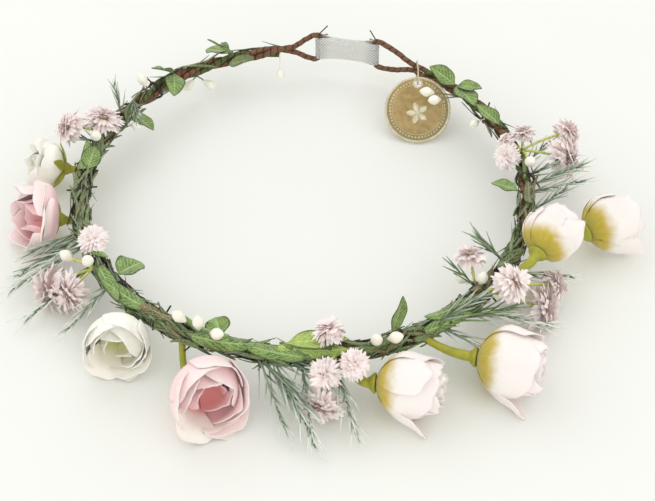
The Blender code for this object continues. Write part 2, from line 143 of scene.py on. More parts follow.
def bezier(start, control, end, steps):
    ts = [i / steps for i in range(steps + 1)]
    return [start * (1 - t) ** 2 + control * (2 * t * (1 - t)) + end * t * t for t in ts]


def circle(sides, radius, height=0.0, middle=0.0):
    """Points of a circle round Z at a height, with its middle this far along X."""
    angles = [math.tau * j / sides for j in range(sides)]
    return [Vector((middle + radius * math.cos(a), radius * math.sin(a), height)) for a in angles]


def through(points, steps):
    """A smooth curve through these points."""
    ends = [points[0] * 2 - points[1]] + list(points) + [points[-1] * 2 - points[-2]]
    found = []
    for i in range(1, len(ends) - 2):
        a, b, c, d = ends[i - 1 : i + 3]
        for k in range(steps):
            t = k / steps
            square, cube = a * 2 - b * 5 + c * 4 - d, b * 3 - a - c * 3 + d
            found.append((b * 2 + (c - a) * t + square * t**2 + cube * t**3) / 2)
    return found + [points[-1]]


# ---------------------------------------------------------------- meshes


class Shape:
    """The points and faces of one piece. Each point has three shares from 0 to 1 that its material reads."""

    def __init__(self):
        self.points, self.paint, self.faces, self.uvs = [], [], [], []

    def sheet(self, rows, paint, lengths=None, wrap=False):
        """Adds a grid. Rows go along v, in shares or at these lengths, and each row's points go along u."""
        count, across = len(rows), len(rows[0])
        first = len(self.points)
        for row, shares in zip(rows, paint):
            self.points += row
            self.paint += shares
        columns = across if wrap else across - 1
        lengths = lengths or [i / (count - 1) for i in range(count)]
        for i in range(count - 1):
            for j in range(columns):
                k = (j + 1) % across
                a, b = first + i * across, first + (i + 1) * across
                self.faces.append((a + j, a + k, b + k, b + j))
                u, w = j / columns, (j + 1) / columns
                self.uvs += [(u, lengths[i]), (w, lengths[i]), (w, lengths[i + 1]), (u, lengths[i + 1])]

    def cap(self, ring, centre, paint, turned):
        """Closes a ring of points, given by their numbers, with a fan."""
        self.points.append(centre)
        self.paint.append(paint)
        middle = len(self.points) - 1
        for j, one in enumerate(ring):
            two = ring[(j + 1) % len(ring)]
            self.faces.append((middle, two, one) if turned else (middle, one, two))
            self.uvs += [(0.5, 0.0), (0.0, 0.0), (1.0, 0.0)]

    def tube(self, path, radius, sides, shares=lambda t: (t, 0.0, 0.0), lump=None):
        """Adds a tube along a path. Radius is a number or a function of the share of the way along."""
        tangents = [
            (path[min(i + 1, len(path) - 1)] - path[max(i - 1, 0)]).normalized() for i in range(len(path))
        ]
        side = tangents[0].orthogonal().normalized()
        rows, paint, lengths, length = [], [], [], 0.0
        for i, (point, tangent) in enumerate(zip(path, tangents)):
            t = i / (len(path) - 1)
            side = (side - tangent * side.dot(tangent)).normalized()
            other = tangent.cross(side)
            length += (point - path[i - 1]).length if i else 0.0
            size = radius(t) if callable(radius) else radius
            row = []
            for j in range(sides):
                a = math.tau * j / sides
                r = size * (1 + (lump(a, length) if lump else 0.0))
                row.append(point + side * (r * math.cos(a)) + other * (r * math.sin(a)))
            rows.append(row)
            paint.append([shares(t)] * sides)
            lengths.append(length)
        first = len(self.points)
        self.sheet(rows, paint, lengths, wrap=True)
        last = first + sides * (len(path) - 1)
        self.cap(list(range(first, first + sides)), path[0], shares(0.0), True)
        self.cap(list(range(last, last + sides)), path[-1], shares(1.0), False)

    def object(self, name, material, thickness=0.0, levels=0):
        mesh = bpy.data.meshes.new(name)
        points = [(p.x * MM, p.y * MM, max(p.z, FLOOR_GAP) * MM) for p in self.points]
        mesh.from_pydata(points, [], self.faces)
        layer = mesh.uv_layers.new(name="UVMap")
        layer.data.foreach_set("uv", [value for uv in self.uvs for value in uv])
        paint = mesh.attributes.new("paint", "FLOAT_COLOR", "POINT")
        paint.data.foreach_set("color", [value for shares in self.paint for value in (*shares, 1.0)])
        mesh.materials.append(material)
        mesh.shade_smooth()
        obj = bpy.data.objects.new(name, mesh)
        bpy.context.scene.collection.objects.link(obj)
        if levels:
            finer = obj.modifiers.new("finer", "SUBSURF")
            finer.levels = finer.render_levels = levels
        if thickness:
            shell = obj.modifiers.new("thickness", "SOLIDIFY")
            shell.thickness, shell.offset = thickness * MM, 0
        return obj


def ridden(obj, body, *nodes):
    """The piece rides on a body and stands for these CAD nodes."""
    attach(obj, body)
    if nodes:
        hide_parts(*nodes)
    return obj


def across_front(obj):
    """For a piece across the front, where the two halves spread: bakes its placing into its mesh, and it
    rides on no body.
    """
    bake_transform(obj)
    return obj


def cad_points(node):
    """A CAD node's corners, each once, and the corners that each is joined to."""
    work = bmesh.new()
    work.from_mesh(frame["nodes"][node].data)
    bmesh.ops.remove_doubles(work, verts=work.verts, dist=1e-6)
    work.verts.index_update()
    points = [vert.co / MM for vert in work.verts]
    joined = [[edge.other_vert(vert).index for edge in vert.link_edges] for vert in work.verts]
    work.free()
    return points, joined


def balls_of(points, joined):
    """The balls in a CAD spray, as (centre, radius, half height), from the ring of points by each pole."""
    found = []
    for point, others in zip(points, joined):
        ring = [points[k] - point for k in others]
        drops, reaches = [r.z for r in ring], [math.hypot(r.x, r.y) for r in ring]
        if len(ring) < 6 or max(drops) - min(drops) > 0.02 or max(reaches) - min(reaches) > 0.02:
            continue
        if abs(drops[0]) < 0.1:
            continue
        half = abs(drops[0]) / (1 - math.cos(math.pi / 4))
        radius = reaches[0] / math.sin(math.pi / 4)
        centre = point + UP * math.copysign(half, drops[0])
        if radius > 1.5 and all((centre - other).length > 1.0 for other, _, _ in found):
            found.append((centre, radius, half))
    return found


def root_of(points):
    """Where a CAD sprig meets the hoop."""
    near = sorted(points, key=lambda p: to_hoop(p).length)[:4]
    return sum(near, Vector()) / len(near)


def blades_of(points, root, several):
    """The leaves of a CAD leaf or leaf spray, as (tip, side, width)."""
    reach = max((p - root).length for p in points)
    if several:
        tips = []
        for point in sorted(points, key=lambda p: -(p - root).length):
            along = point - root
            if along.length > 0.6 * reach and all(along.angle(tip - root) > math.radians(29) for tip in tips):
                tips.append(point)
    else:
        along = (sum(points, Vector()) / len(points) - root).normalized()
        tips = [root + along * max((p - root).dot(along) for p in points)]
    found = []
    for tip in tips:
        along, length = (tip - root).normalized(), (tip - root).length
        beyond = [p for p in points if (p - root).dot(along) > 0.3 * length]
        mine = [p for p in beyond if min(tips, key=lambda other: (p - root).angle(other - root)) is tip]
        offsets = np.array([(p - root) - along * (p - root).dot(along) for p in mine])
        offsets -= offsets.mean(axis=0)
        side = Vector(np.linalg.svd(offsets, full_matrices=False)[2][0])
        spans = offsets @ np.array(side)
        found.append((tip, side, float(spans.max() - spans.min())))
    return found


# ---------------------------------------------------------------- materials


def linear(code):
    values = [int(code[i : i + 2], 16) / 255 for i in (1, 3, 5)]
    return tuple(v / 12.92 if v <= 0.04045 else ((v + 0.055) / 1.055) ** 2.4 for v in values) + (1.0,)


class Look:
    """A material under construction. Its methods return node sockets."""

    def __init__(self, name, roughness, **sockets):
        self.material = bpy.data.materials.new(name)
        self.material.use_nodes = True
        self.nodes, self.links = self.material.node_tree.nodes, self.material.node_tree.links
        self.shader = self.nodes["Principled BSDF"]
        self.shader.inputs["Roughness"].default_value = roughness
        for key, value in sockets.items():
            self.shader.inputs[key.replace("_", " ")].default_value = value
        self.height = None

    def node(self, kind, **settings):
        made = self.nodes.new("ShaderNode" + kind)
        for key, value in settings.items():
            setattr(made, key, value)
        return made

    def put(self, value, socket):
        if isinstance(value, str):
            socket.default_value = linear(value)
        elif isinstance(value, (int, float)):
            socket.default_value = value
        else:
            self.links.new(value, socket)

    def paint(self, index):
        split = self.node("SeparateColor")
        self.links.new(self.node("Attribute", attribute_name="paint").outputs["Color"], split.inputs[0])
        return split.outputs[index]

    def uv(self, u=1.0, v=1.0, turn=0.0):
        place = self.node("Mapping")
        place.inputs["Scale"].default_value = (u, v, 1.0)
        place.inputs["Rotation"].default_value = (0, 0, math.radians(turn))
        self.links.new(self.node("UVMap", uv_map="UVMap").outputs[0], place.inputs["Vector"])
        return place.outputs[0]

    def space(self):
        return self.node("TexCoord").outputs["Object"]

    def texture(self, made, coordinates, output, **inputs):
        for key, number in inputs.items():
            made.inputs[key].default_value = number
        self.links.new(coordinates, made.inputs["Vector"])
        return made.outputs[output]

    def noise(self, coordinates, scale, detail=3.0, roughness=0.6):
        made = self.node("TexNoise")
        return self.texture(made, coordinates, "Fac", Scale=scale, Detail=detail, Roughness=roughness)

    def waves(self, coordinates, scale, distortion=0.0, direction="X", detail=1.0):
        made = self.node("TexWave", bands_direction=direction)
        return self.texture(made, coordinates, "Fac", Scale=scale, Distortion=distortion, Detail=detail)

    def cells(self, coordinates, scale):
        made = self.node("TexVoronoi", feature="DISTANCE_TO_EDGE")
        return self.texture(made, coordinates, "Distance", Scale=scale)

    def math(self, operation, a, b=0.0):
        made = self.node("Math", operation=operation)
        self.put(a, made.inputs[0])
        self.put(b, made.inputs[1])
        return made.outputs[0]

    def ramp(self, value, low, high, start=0.0, end=1.0):
        made = self.node("MapRange", interpolation_type="SMOOTHSTEP")
        self.put(value, made.inputs["Value"])
        for key, number in (("From Min", low), ("From Max", high), ("To Min", start), ("To Max", end)):
            made.inputs[key].default_value = number
        return made.outputs["Result"]

    def mix(self, share, a, b):
        made = self.node("Mix", data_type="RGBA")
        self.put(share, made.inputs[0])
        self.put(a, made.inputs[6])
        self.put(b, made.inputs[7])
        return made.outputs[2]

    def bump(self, height, strength, distance=0.0003):
        made = self.node("Bump")
        made.inputs["Strength"].default_value = strength
        made.inputs["Distance"].default_value = distance
        self.links.new(height, made.inputs["Height"])
        if self.height is not None:
            self.links.new(self.height, made.inputs["Normal"])
        self.height = made.outputs[0]

    def done(self, colour, roughness=None):
        self.links.new(colour, self.shader.inputs["Base Color"])
        if roughness is not None:
            self.links.new(roughness, self.shader.inputs["Roughness"])
        if self.height is not None:
            self.links.new(self.height, self.shader.inputs["Normal"])
        return self.material


def petal_look(name, tip, body, deep, base, base_core, base_end):
    """Satin petal cloth. Paint is (share from base to tip, how far inside, cream share). The base's
    colours end at base_end of the way up."""
    look = Look(
        name, 0.62, Subsurface_Weight=0.1, Subsurface_Scale=0.002, Sheen_Weight=0.3, Sheen_Roughness=0.5,
        Specular_IOR_Level=0.25,
    )
    look.shader.inputs["Subsurface Radius"].default_value = (1.0, 0.9, 0.85)
    look.shader.inputs["Sheen Tint"].default_value = (1.0, 0.93, 0.9, 1.0)
    along, inside, cream = look.paint(0), look.paint(1), look.paint(2)
    cloud = look.noise(look.space(), 130, 3)
    edge = look.math("ADD", along, look.math("MULTIPLY", look.math("SUBTRACT", cloud, 0.5), 0.3))
    outer = look.mix(look.ramp(edge, 0.35, 1.0), body, tip)
    inner = look.mix(look.ramp(edge, 0.3, 1.0), deep, body)
    colour = look.mix(inside, outer, inner)
    colour = look.mix(look.ramp(edge, base_end * 0.5, base_end, 1.0, 0.0), colour, base)
    colour = look.mix(look.ramp(edge, 0.04, base_end * 0.7, 0.7, 0.0), colour, base_core)
    colour = look.mix(cream, colour, look.mix(look.ramp(edge, 0.1, 0.6), body, "#FBF4EA"))
    veins = look.noise(look.uv(26, 1.6), 1.0, 4, 0.7)
    colour = look.mix(look.ramp(veins, 0.35, 0.75, 0.0, 0.14), colour, body)
    warp, weft = look.waves(look.space(), 900, 0.6), look.waves(look.space(), 900, 0.6, "Y")
    threads = look.math("MULTIPLY", warp, weft)
    look.bump(veins, 0.35, 0.0004)
    look.bump(threads, 0.12, 0.0001)
    look.bump(cloud, 0.15, 0.0006)
    return look.done(colour, look.ramp(cloud, 0.3, 0.7, 0.55, 0.7))


def leaf_look(name, light, dark, vein, stray=None):
    """Printed leaf cloth with a midrib, side veins and a fine network. Paint is (along, across, random).
    Stray is the colour of the few leaves that have withered."""
    look = Look(
        name, 0.55, Specular_IOR_Level=0.3, Sheen_Weight=0.15, Subsurface_Weight=0.06, Subsurface_Scale=0.002,
    )
    along, across, chance = look.paint(0), look.paint(1), look.paint(2)
    space = look.space()
    cloud = look.noise(space, 260, 5, 0.65)
    colour = look.mix(look.ramp(cloud, 0.32, 0.68), dark, light)
    colour = look.mix(look.math("MULTIPLY", chance, 0.45), colour, dark)
    if stray:
        withered = look.mix(look.ramp(cloud, 0.35, 0.65), stray, dark)
        colour = look.mix(look.ramp(chance, 0.7, 0.74), colour, withered)
    slant = look.math("SUBTRACT", look.math("MULTIPLY", along, 8.0), look.math("MULTIPLY", across, 2.4))
    rib = look.math("ABSOLUTE", look.math("SUBTRACT", look.math("FRACT", slant), 0.5))
    side = look.math("MULTIPLY", look.ramp(rib, 0.05, 0.14, 1.0, 0.0), look.ramp(across, 0.75, 1.0, 1.0, 0.0))
    middle = look.ramp(across, 0.04, 0.13, 1.0, 0.0)
    network = look.ramp(look.cells(space, 900), 0.02, 0.12, 0.55, 0.0)
    veins = look.math("MAXIMUM", look.math("MAXIMUM", middle, side), network)
    colour = look.mix(look.math("MULTIPLY", veins, 0.62), colour, vein)
    colour = look.mix(look.ramp(across, 0.82, 0.98, 0.0, 0.75), colour, "#22331D")
    speck = look.ramp(look.noise(space, 1500, 2), 0.62, 0.72, 0.0, 0.5)
    colour = look.mix(speck, colour, "#DCE8C8")
    look.bump(veins, 0.5, 0.0003)
    look.bump(cloud, 0.4, 0.0004)
    return look.done(colour, look.ramp(cloud, 0.3, 0.7, 0.42, 0.65))


def paper_look(name, light, dark, wrap):
    """Paper tape wound round wire. V is in millimetres along the strand."""
    look = Look(name, 0.82, Specular_IOR_Level=0.2)
    fibres = look.noise(look.uv(9, 0.22), 1.0, 5, 0.75)
    cloud = look.noise(look.space(), 190, 4)
    turns = look.waves(look.uv(1.0, 0.36), 0.5, 1.2, "DIAGONAL", 2)
    colour = look.mix(look.ramp(fibres, 0.3, 0.7), dark, light)
    colour = look.mix(look.ramp(cloud, 0.35, 0.7, 0.0, 0.55), colour, wrap)
    colour = look.mix(look.ramp(turns, 0.0, 0.16, 0.75, 0.0), colour, "#2C1D16")
    look.bump(fibres, 0.6, 0.0004)
    look.bump(turns, 0.5, 0.0004)
    return look.done(colour, look.ramp(fibres, 0.3, 0.7, 0.7, 0.92))


def needle_look():
    """Moulded needles with frosted ends. Paint is (along, frost, random)."""
    look = Look("needle_sage", 0.6, Specular_IOR_Level=0.35, Sheen_Weight=0.3)
    along, frost, chance = look.paint(0), look.paint(1), look.paint(2)
    cloud = look.noise(look.space(), 420, 4)
    green = look.mix(chance, "#44603F", "#8AA573")
    green = look.mix(look.ramp(frost, 0.0, 0.25, 0.75, 0.0), green, look.mix(chance, "#4F8038", "#A3C06A"))
    green = look.mix(look.ramp(cloud, 0.35, 0.65, 0.0, 0.6), green, "#2E3B30")
    edge = look.math("ADD", along, look.math("SUBTRACT", cloud, 0.5))
    white = look.math("MULTIPLY", frost, look.ramp(edge, 0.0, 0.8))
    colour = look.mix(white, green, "#EEF3EA")
    look.bump(look.noise(look.space(), 1600, 3), 0.5, 0.0002)
    return look.done(colour, look.ramp(cloud, 0.3, 0.7, 0.5, 0.75))


def plain_look(name, light, dark, roughness, grain=500, bump=0.3, stretch=None, **sockets):
    """Two tones clouded together with a fine grain, for plastic stems, wire, berries and thread."""
    look = Look(name, roughness, **sockets)
    place = look.uv(*stretch) if stretch else look.space()
    fine = look.noise(place, 1.0 if stretch else grain, 4, 0.7)
    cloud = look.noise(look.space(), 150, 3)
    colour = look.mix(look.ramp(fine, 0.3, 0.7, 0.0, 0.7), light, dark)
    colour = look.mix(look.ramp(cloud, 0.4, 0.7, 0.0, 0.4), colour, dark)
    look.bump(fine, bump, 0.0002)
    return look.done(colour, look.ramp(fine, 0.3, 0.7, roughness * 0.85, min(1.0, roughness * 1.15)))


def filler_look():
    """Frilled blush cloth. Paint is (base to tip, random, stem share)."""
    look = Look("filler_blush", 0.8, Sheen_Weight=0.25, Specular_IOR_Level=0.15)
    look.shader.inputs["Sheen Tint"].default_value = (1.0, 0.85, 0.83, 1.0)
    along, chance, stem = look.paint(0), look.paint(1), look.paint(2)
    fine = look.noise(look.space(), 900, 3)
    colour = look.mix(look.ramp(along, 0.0, 0.8), "#FFE0DC", "#FFF8F6")
    colour = look.mix(look.math("MULTIPLY", chance, 0.4), colour, "#FFE2DF")
    colour = look.mix(stem, colour, look.mix(look.ramp(fine, 0.35, 0.65), "#B9BE4E", "#DADF8E"))
    look.bump(fine, 0.4, 0.0002)
    return look.done(colour, look.ramp(fine, 0.3, 0.7, 0.65, 0.85))


def elastic_look():
    """Thin elastic band, knitted in diamonds. Its net is painted darker grey near the bars, as painted shade
    where the band folds round them.
    """
    look = Look("elastic", 0.55, Transmission_Weight=0.12, Sheen_Weight=0.3, Subsurface_Weight=0.1)
    one = look.waves(look.uv(3.2, 0.34, 40), 1.0)
    two = look.waves(look.uv(3.2, 0.34, -40), 1.0)
    net = look.math("MINIMUM", one, two)
    ribs = look.waves(look.uv(1.0, 1.0), 6.0, 0.4)
    # The second paint share marks the ends near the bars, where the net is painted grey as painted shade.
    shaded_near_bar = look.paint(1)
    mesh = look.mix(shaded_near_bar, "#F1EFE7", "#A3A59D")
    colour = look.mix(look.ramp(net, 0.05, 0.3, 1.0, 0.0), "#FBFAF4", mesh)
    look.bump(net, 0.6, 0.0003)
    look.bump(ribs, 0.3, 0.0002)
    return look.done(colour, look.ramp(ribs, 0.2, 0.8, 0.45, 0.65))


def tag_look():
    """Gold kraft card, a little darker and greyer towards its rim. Paint is (share of the radius, 0, 0)."""
    look = Look("tag_kraft", 0.42, Metallic=0.35, Specular_IOR_Level=0.5)
    fibres = look.noise(look.space(), 380, 6, 0.7)
    cloud = look.noise(look.space(), 60, 3)
    colour = look.mix(look.ramp(fibres, 0.35, 0.65), "#B29A68", "#9A8450")
    colour = look.mix(look.ramp(cloud, 0.35, 0.7, 0.0, 0.6), colour, "#BC9C68")
    colour = look.mix(look.ramp(look.paint(0), 0.84, 0.9, 0.0, 0.7), colour, "#8C835C")
    look.bump(fibres, 0.35, 0.0002)
    return look.done(colour, look.ramp(fibres, 0.3, 0.7, 0.34, 0.52))


def floor_look():
    look = Look("floor", 0.75, Specular_IOR_Level=0.2)
    cloud = look.noise(look.space(), 4, 3)
    return look.done(look.mix(look.ramp(cloud, 0.3, 0.7), "#EEEFEA", "#F1F2ED"))


LOOKS = {
    "petal_pink": petal_look("petal_pink", "#FFF0EE", "#FED4D7", "#F8B0AC", "#F8CCC0", "#E9D9A0", 0.12),
    "petal_cream": petal_look("petal_cream", "#FEFDF6", "#FDFCEE", "#F5F5C6", "#E8E8A6", "#C9CC6C", 0.3),
    "petal_white": petal_look("petal_white", "#FDF3F0", "#FCF5EE", "#F8EBC8", "#CDB12A", "#A9A42E", 0.54),
    "leaf_green": leaf_look("leaf_green", "#86A650", "#48692C", "#BDD292"),
    "bundle_green": leaf_look("bundle_green", "#7F9258", "#394A2A", "#A8B684", "#86603F"),
    "leaf_lime": leaf_look("leaf_lime", "#B5CE62", "#87A745", "#DDEBA0"),
    "vine_paper": paper_look("vine_paper", "#8F6950", "#593B2D", "#85694E"),
    "stem_green": paper_look("stem_green", "#73804B", "#3E4B2C", "#5B6440"),
    "needle_sage": needle_look(),
    "filler_blush": filler_look(),
    "rose_stem": plain_look("rose_stem", "#B3AF3C", "#8C9334", 0.42, 260, 0.2, Specular_IOR_Level=0.4),
    "berry_white": plain_look(
        "berry_white", "#FAF8EC", "#F3EFDC", 0.28, 300, 0.1,
        Subsurface_Weight=0.15, Subsurface_Scale=0.004, Coat_Weight=0.25,
    ),
    "berry_stem": plain_look("berry_stem", "#8E8F6C", "#5B5C45", 0.6),
    "binding_wire": plain_look("binding_wire", "#4B4238", "#2A2622", 0.45, 700, 0.3, Metallic=0.4),
    "elastic": elastic_look(),
    "tag_kraft": tag_look(),
    "tag_rim": plain_look("tag_rim", "#E6DFC4", "#B9AE8A", 0.3, 400, 0.15, Metallic=0.55),
    "thread_pale": plain_look("thread_pale", "#DCD3B8", "#A99E7C", 0.8, 900, 0.8, stretch=(3, 2.4)),
}


# ---------------------------------------------------------------- the hoop


def turn_at(angle, phase):
    share = (angle - APEX["left"]) / (APEX["right"] - APEX["left"])
    return math.radians(phase) + math.tau * TWIST_TURNS * share


def strand(start, end, phase):
    """A strand of the twisted vine between two angles, with a point at about every degree."""
    count = max(2, round(abs(end - start)))
    found = []
    for i in range(count + 1):
        angle = start + (end - start) * i / count
        turn = turn_at(angle, phase)
        found.append(hoop_point(angle, TWIST_R * math.cos(turn), TWIST_R * math.sin(turn)))
    return found


def bar_of(side):
    """The middle of the upright bar in a half's end loop, and the loop's half height."""
    points, _ = cad_points(f"vine_wire_{side}")
    edge = (max if side == "left" else min)(p.x for p in points if p.y > HOOP_R * 0.8)
    near = [p for p in points if abs(p.x - edge) < 2.0 and p.y > HOOP_R * 0.8]
    low, high = min(near, key=lambda p: p.z), max(near, key=lambda p: p.z)
    y = (min(p.y for p in near) + max(p.y for p in near)) / 2
    x = edge - math.copysign(STRAND_R, edge - APEX_POINT[side].x)
    return Vector((x, y, (low.z + high.z) / 2)), (high.z - low.z) / 2 - STRAND_R


APEX_POINT = {side: hoop_point(angle) for side, angle in APEX.items()}
BARS = {side: bar_of(side) for side in APEX}


def loop_of(side):
    """The wire's way from its upper strand round the end loop to its lower strand."""
    bar, half = BARS[side]
    apex = APEX_POINT[side]
    along = bar - apex
    corner = 1.4 / along.length
    leg = [(0.22, 0.4, 0.6), (0.45, 0.7, 0.35), (0.7, 0.92, 0.1), (1 - 1.8 * corner, 1.0, 0.0)]
    leg += [(1 - 0.4 * corner, 0.93, 0.0), (1.0, 0.72, 0.0)]
    out = direction(APEX[side])
    upper = [apex + along * t + out * u + UP * (v * half) for t, v, u in leg]
    lower = [apex + along * t + out * u - UP * (v * half) for t, v, u in reversed(leg)]
    return upper + [bar] + lower


def papery(seed):
    """Small lumps of the paper tape: its turns and its creases."""

    def lump(angle, length):
        turn = math.sin(angle - length * 1.7 + seed)
        crease = noise.noise(Vector((math.cos(angle) * 1.4, math.sin(angle) * 1.4, length * 0.45 + seed)))
        return 0.045 * turn + 0.13 * crease

    return lump


def make_vine():
    paper, green = LOOKS["vine_paper"], LOOKS["stem_green"]
    ends = {"left": FRONT_FROM, "right": FRONT_TO}
    for side, front in ends.items():
        shape = Shape()
        up, down = strand(front, APEX[side], 60), strand(APEX[side], front, -60)
        turn = through([up[-2], up[-1]] + loop_of(side) + [down[0], down[1]], 6)[6:-6]
        path = up[:-1] + turn + down[1:]
        shape.tube(path, STRAND_R, 10, lump=papery(3.0 if side == "left" else 8.0))
        ridden(shape.object(f"vine_{side}", paper), f"{side}_half", f"vine_wire_{side}")

        shape = Shape()
        end = APEX[side] + (4 if side == "left" else -4)
        shape.tube(strand(front, end, 180), STRAND_R, 8, lump=papery(5.0))
        ridden(shape.object(f"garland_{side}", green), f"{side}_half", f"garland_stem_{side}")
    shape = Shape()
    for phase in (60, -60):
        shape.tube(strand(FRONT_FROM - 1, FRONT_TO + 1, phase), STRAND_R, 10, lump=papery(phase))
    across_front(shape.object("vine_front", paper))
    shape = Shape()
    shape.tube(strand(FRONT_FROM - 1, FRONT_TO + 1, 180), STRAND_R, 8, lump=papery(2.0))
    across_front(shape.object("garland_front", green))


def add_wrap(shape, chance, start, length, width, roll, twist, lift, depth=None):
    """A leaf or a blade of grass laid along the vine and round it, with its tip lifted off."""
    rows, paint, tone = [], [], chance.random()
    sign, depth = chance.choice((-1, 1)), depth or chance.uniform(0.0, 1.1)
    for i in range(12):
        t = i / 11
        half = width / 2 * math.sin(math.pi * min(1.0, 0.06 + 0.94 * t)) ** 0.7 + 0.1
        away = VINE_R + depth + lift * t**3 + 0.35 * math.sin(t * 6 + roll)
        angle = start + sign * math.degrees(length * t / HOOP_R)
        row, shares = [], []
        for j in range(5):
            u = j / 2 - 1
            turn = roll + twist * t + u * half / (VINE_R + 0.4)
            bulge = 0.12 * width * (1 - u * u)
            row.append(hoop_point(angle, (away + bulge) * math.cos(turn), (away + bulge) * math.sin(turn)))
            shares.append((t, abs(u), tone))
        rows.append(row if sign > 0 else row[::-1])
        paint.append(shares)
    shape.sheet(rows, paint)


# Foliage bound along the vine: from an angle to an angle, and how many leaves, grass blades and needles.
WRAP_ZONES = (
    (-252.0, -232.0, 1, 4, 2), (-228.0, -205.0, 2, 8, 6), (-204.0, -186.0, 4, 12, 8),
    (-186.0, -160.0, 8, 52, 22), (-160.0, -134.0, 8, 56, 26), (-134.0, -112.0, 8, 44, 18),
    (-112.0, -92.0, 7, 40, 14), (-92.0, -66.0, 5, 34, 12), (-66.0, -48.0, 6, 34, 14),
    (-48.0, -24.0, 6, 44, 22), (-24.0, 4.0, 4, 24, 14), (4.0, 30.0, 2, 12, 8), (30.0, 42.0, 2, 5, 3),
)
# What starts within this much of the front is baked in place with the front pieces.
FRONT_HALF = 28.0


# Long leaves bound along the front: angle, length, width, roll, twist and look.
LONG_LEAVES = (
    (-118.0, 22, 5.0, 1.3, -0.5, "leaf_green"), (-104.0, 24, 5.4, 0.9, 0.5, "leaf_green"),
    (-96.0, 20, 4.6, 1.9, 0.3, "leaf_green"), (-84.0, 25, 5.2, 1.5, -0.5, "leaf_lime"),
    (-78.0, 22, 5.0, 0.7, 0.6, "leaf_green"), (-136.0, 18, 4.6, 1.2, -0.6, "leaf_green"),
    (-148.0, 17, 4.8, 1.6, 0.5, "leaf_green"), (-172.0, 17, 5.2, 1.4, -0.4, "leaf_green"),
    (-36.0, 20, 4.6, 1.3, 0.5, "leaf_green"), (-50.0, 20, 4.6, 0.8, -0.4, "leaf_green"),
)


def make_long_leaves():
    chance = random.Random(3)
    for k, (angle, length, width, roll, twist, look) in enumerate(LONG_LEAVES):
        shape = Shape()
        add_wrap(shape, chance, angle, length, width, roll, twist, 1.2, 1.3)
        obj = shape.object(f"long_leaf_{k + 1}", LOOKS[look], LEAF_THICK, 1)
        if abs(angle + 90.0) < FRONT_HALF:
            across_front(obj)
        else:
            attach(obj, half_at(angle))


def make_wraps():
    chance = random.Random(11)
    shapes = {key: (Shape(), Shape()) for key in ("left", "front", "right")}
    for low, high, leaves, blades, needles in WRAP_ZONES:
        for k in range(leaves + blades + needles):
            start = low + (high - low) * chance.random()
            key = "front" if abs(start + 90.0) < FRONT_HALF else ("left" if start < -90 else "right")
            if k < leaves:
                length, width = chance.uniform(10, 15), chance.uniform(3.2, 4.6)
                roll, twist = chance.uniform(0, math.tau), chance.uniform(-1.2, 1.2)
                lift = chance.uniform(0.2, 2.0)
                add_wrap(shapes[key][0], chance, start, length, width, roll, twist, lift)
            elif k < leaves + blades:
                length, width = chance.uniform(12, 22), chance.uniform(0.7, 1.7)
                roll, twist = chance.uniform(0, math.tau), chance.uniform(-2.4, 2.4)
                lift = chance.choice((0.0, 0.0, 0.4, 2.6))
                add_wrap(shapes[key][0], chance, start, length, width, roll, twist, lift)
            else:
                roll = chance.uniform(-0.6, math.pi + 0.6)
                around = direction(start) * math.cos(roll) + UP * math.sin(roll)
                along = direction(start).cross(UP) * chance.choice((-1, 1))
                lean, length = chance.uniform(0.1, 0.6), chance.uniform(5, 10)
                foot, out = hoop_point(start) + around * (VINE_R - 0.5), (along + around * lean).normalized()
                add_needle(shapes[key][1], chance, foot, out, length, BOUND_NEEDLE_R, 0.2)
    for key, (leaves, needles) in shapes.items():
        for kind, shape, look, slot, thickness in (
            ("wrap_leaves", leaves, "bundle_green", "leaf_green", BLADE_THICK),
            ("wrap_needles", needles, "needle_sage", "needle_sage", 0.0),
        ):
            obj = shape.object(f"{kind}_{key}", LOOKS[look], thickness)
            if key == "front":
                across_front(obj)
            else:
                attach(obj, f"{key}_half")


def make_coil(name, angle, body, nodes=(), turns=3.25, seed=0):
    """Binding wire: a few turns round the bundle and two cut ends. The seed sets how it starts and wavers."""
    radius, pitch, count = VINE_R + 0.95, 0.85, round(turns * 16)
    along = direction(angle).cross(UP)
    path = []
    for i in range(count + 1):
        a = math.tau * i / 16 + seed
        shift = (i / 16 - turns / 2) * pitch + 0.25 * math.sin(a * 0.7)
        r = radius + 0.18 * math.sin(a * 1.7 + seed)
        path.append(hoop_point(angle, r * math.cos(a), r * math.sin(a)) + along * shift)
    for end, before in ((0, 1), (-1, -2)):
        off = (path[end] - path[before]).normalized()
        away = (path[end] - hoop_point(angle)).normalized()
        tail = [path[end] + (off * 0.8 + away * 0.7) * (k * 1.0) for k in range(1, 4)]
        path = path + tail if end else tail[::-1] + path
    shape = Shape()
    shape.tube(path, TIE_WIRE_R, 6)
    obj = ridden(shape.object(name, LOOKS["binding_wire"]), body, *nodes)


def make_coils():
    for k in range(1, 6):
        node = f"binding_wire_{k}"
        low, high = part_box(node)
        make_coil(f"{node}_coil", angle_of((low + high) / 2 / MM), BODY_OF[node], (node,), seed=k)
    for k, angle in enumerate((-212.0, -147.0, -104.0, -73.0, -55.0, -30.0, 13.0, 40.0)):
        make_coil(f"tie_{k + 1}", angle, half_at(angle), turns=1.6 + 0.4 * (k % 3), seed=20 + k)
    for side in APEX:
        bar, half = BARS[side]
        away = (bar - APEX_POINT[side]).normalized()
        shape = Shape()
        for sign, tilt in ((1, 0.5), (1, -0.25)):
            start = bar + UP * (half * 0.9 * sign) - away * 1.5
            lean = away + UP * tilt + direction(90) * 0.5
            shape.tube([start + lean * (k * 1.2) + UP * (0.1 * k * k * tilt) for k in range(5)], 0.28, 6)
        ridden(shape.object(f"wire_ends_{side}", LOOKS["binding_wire"]), f"{side}_half")


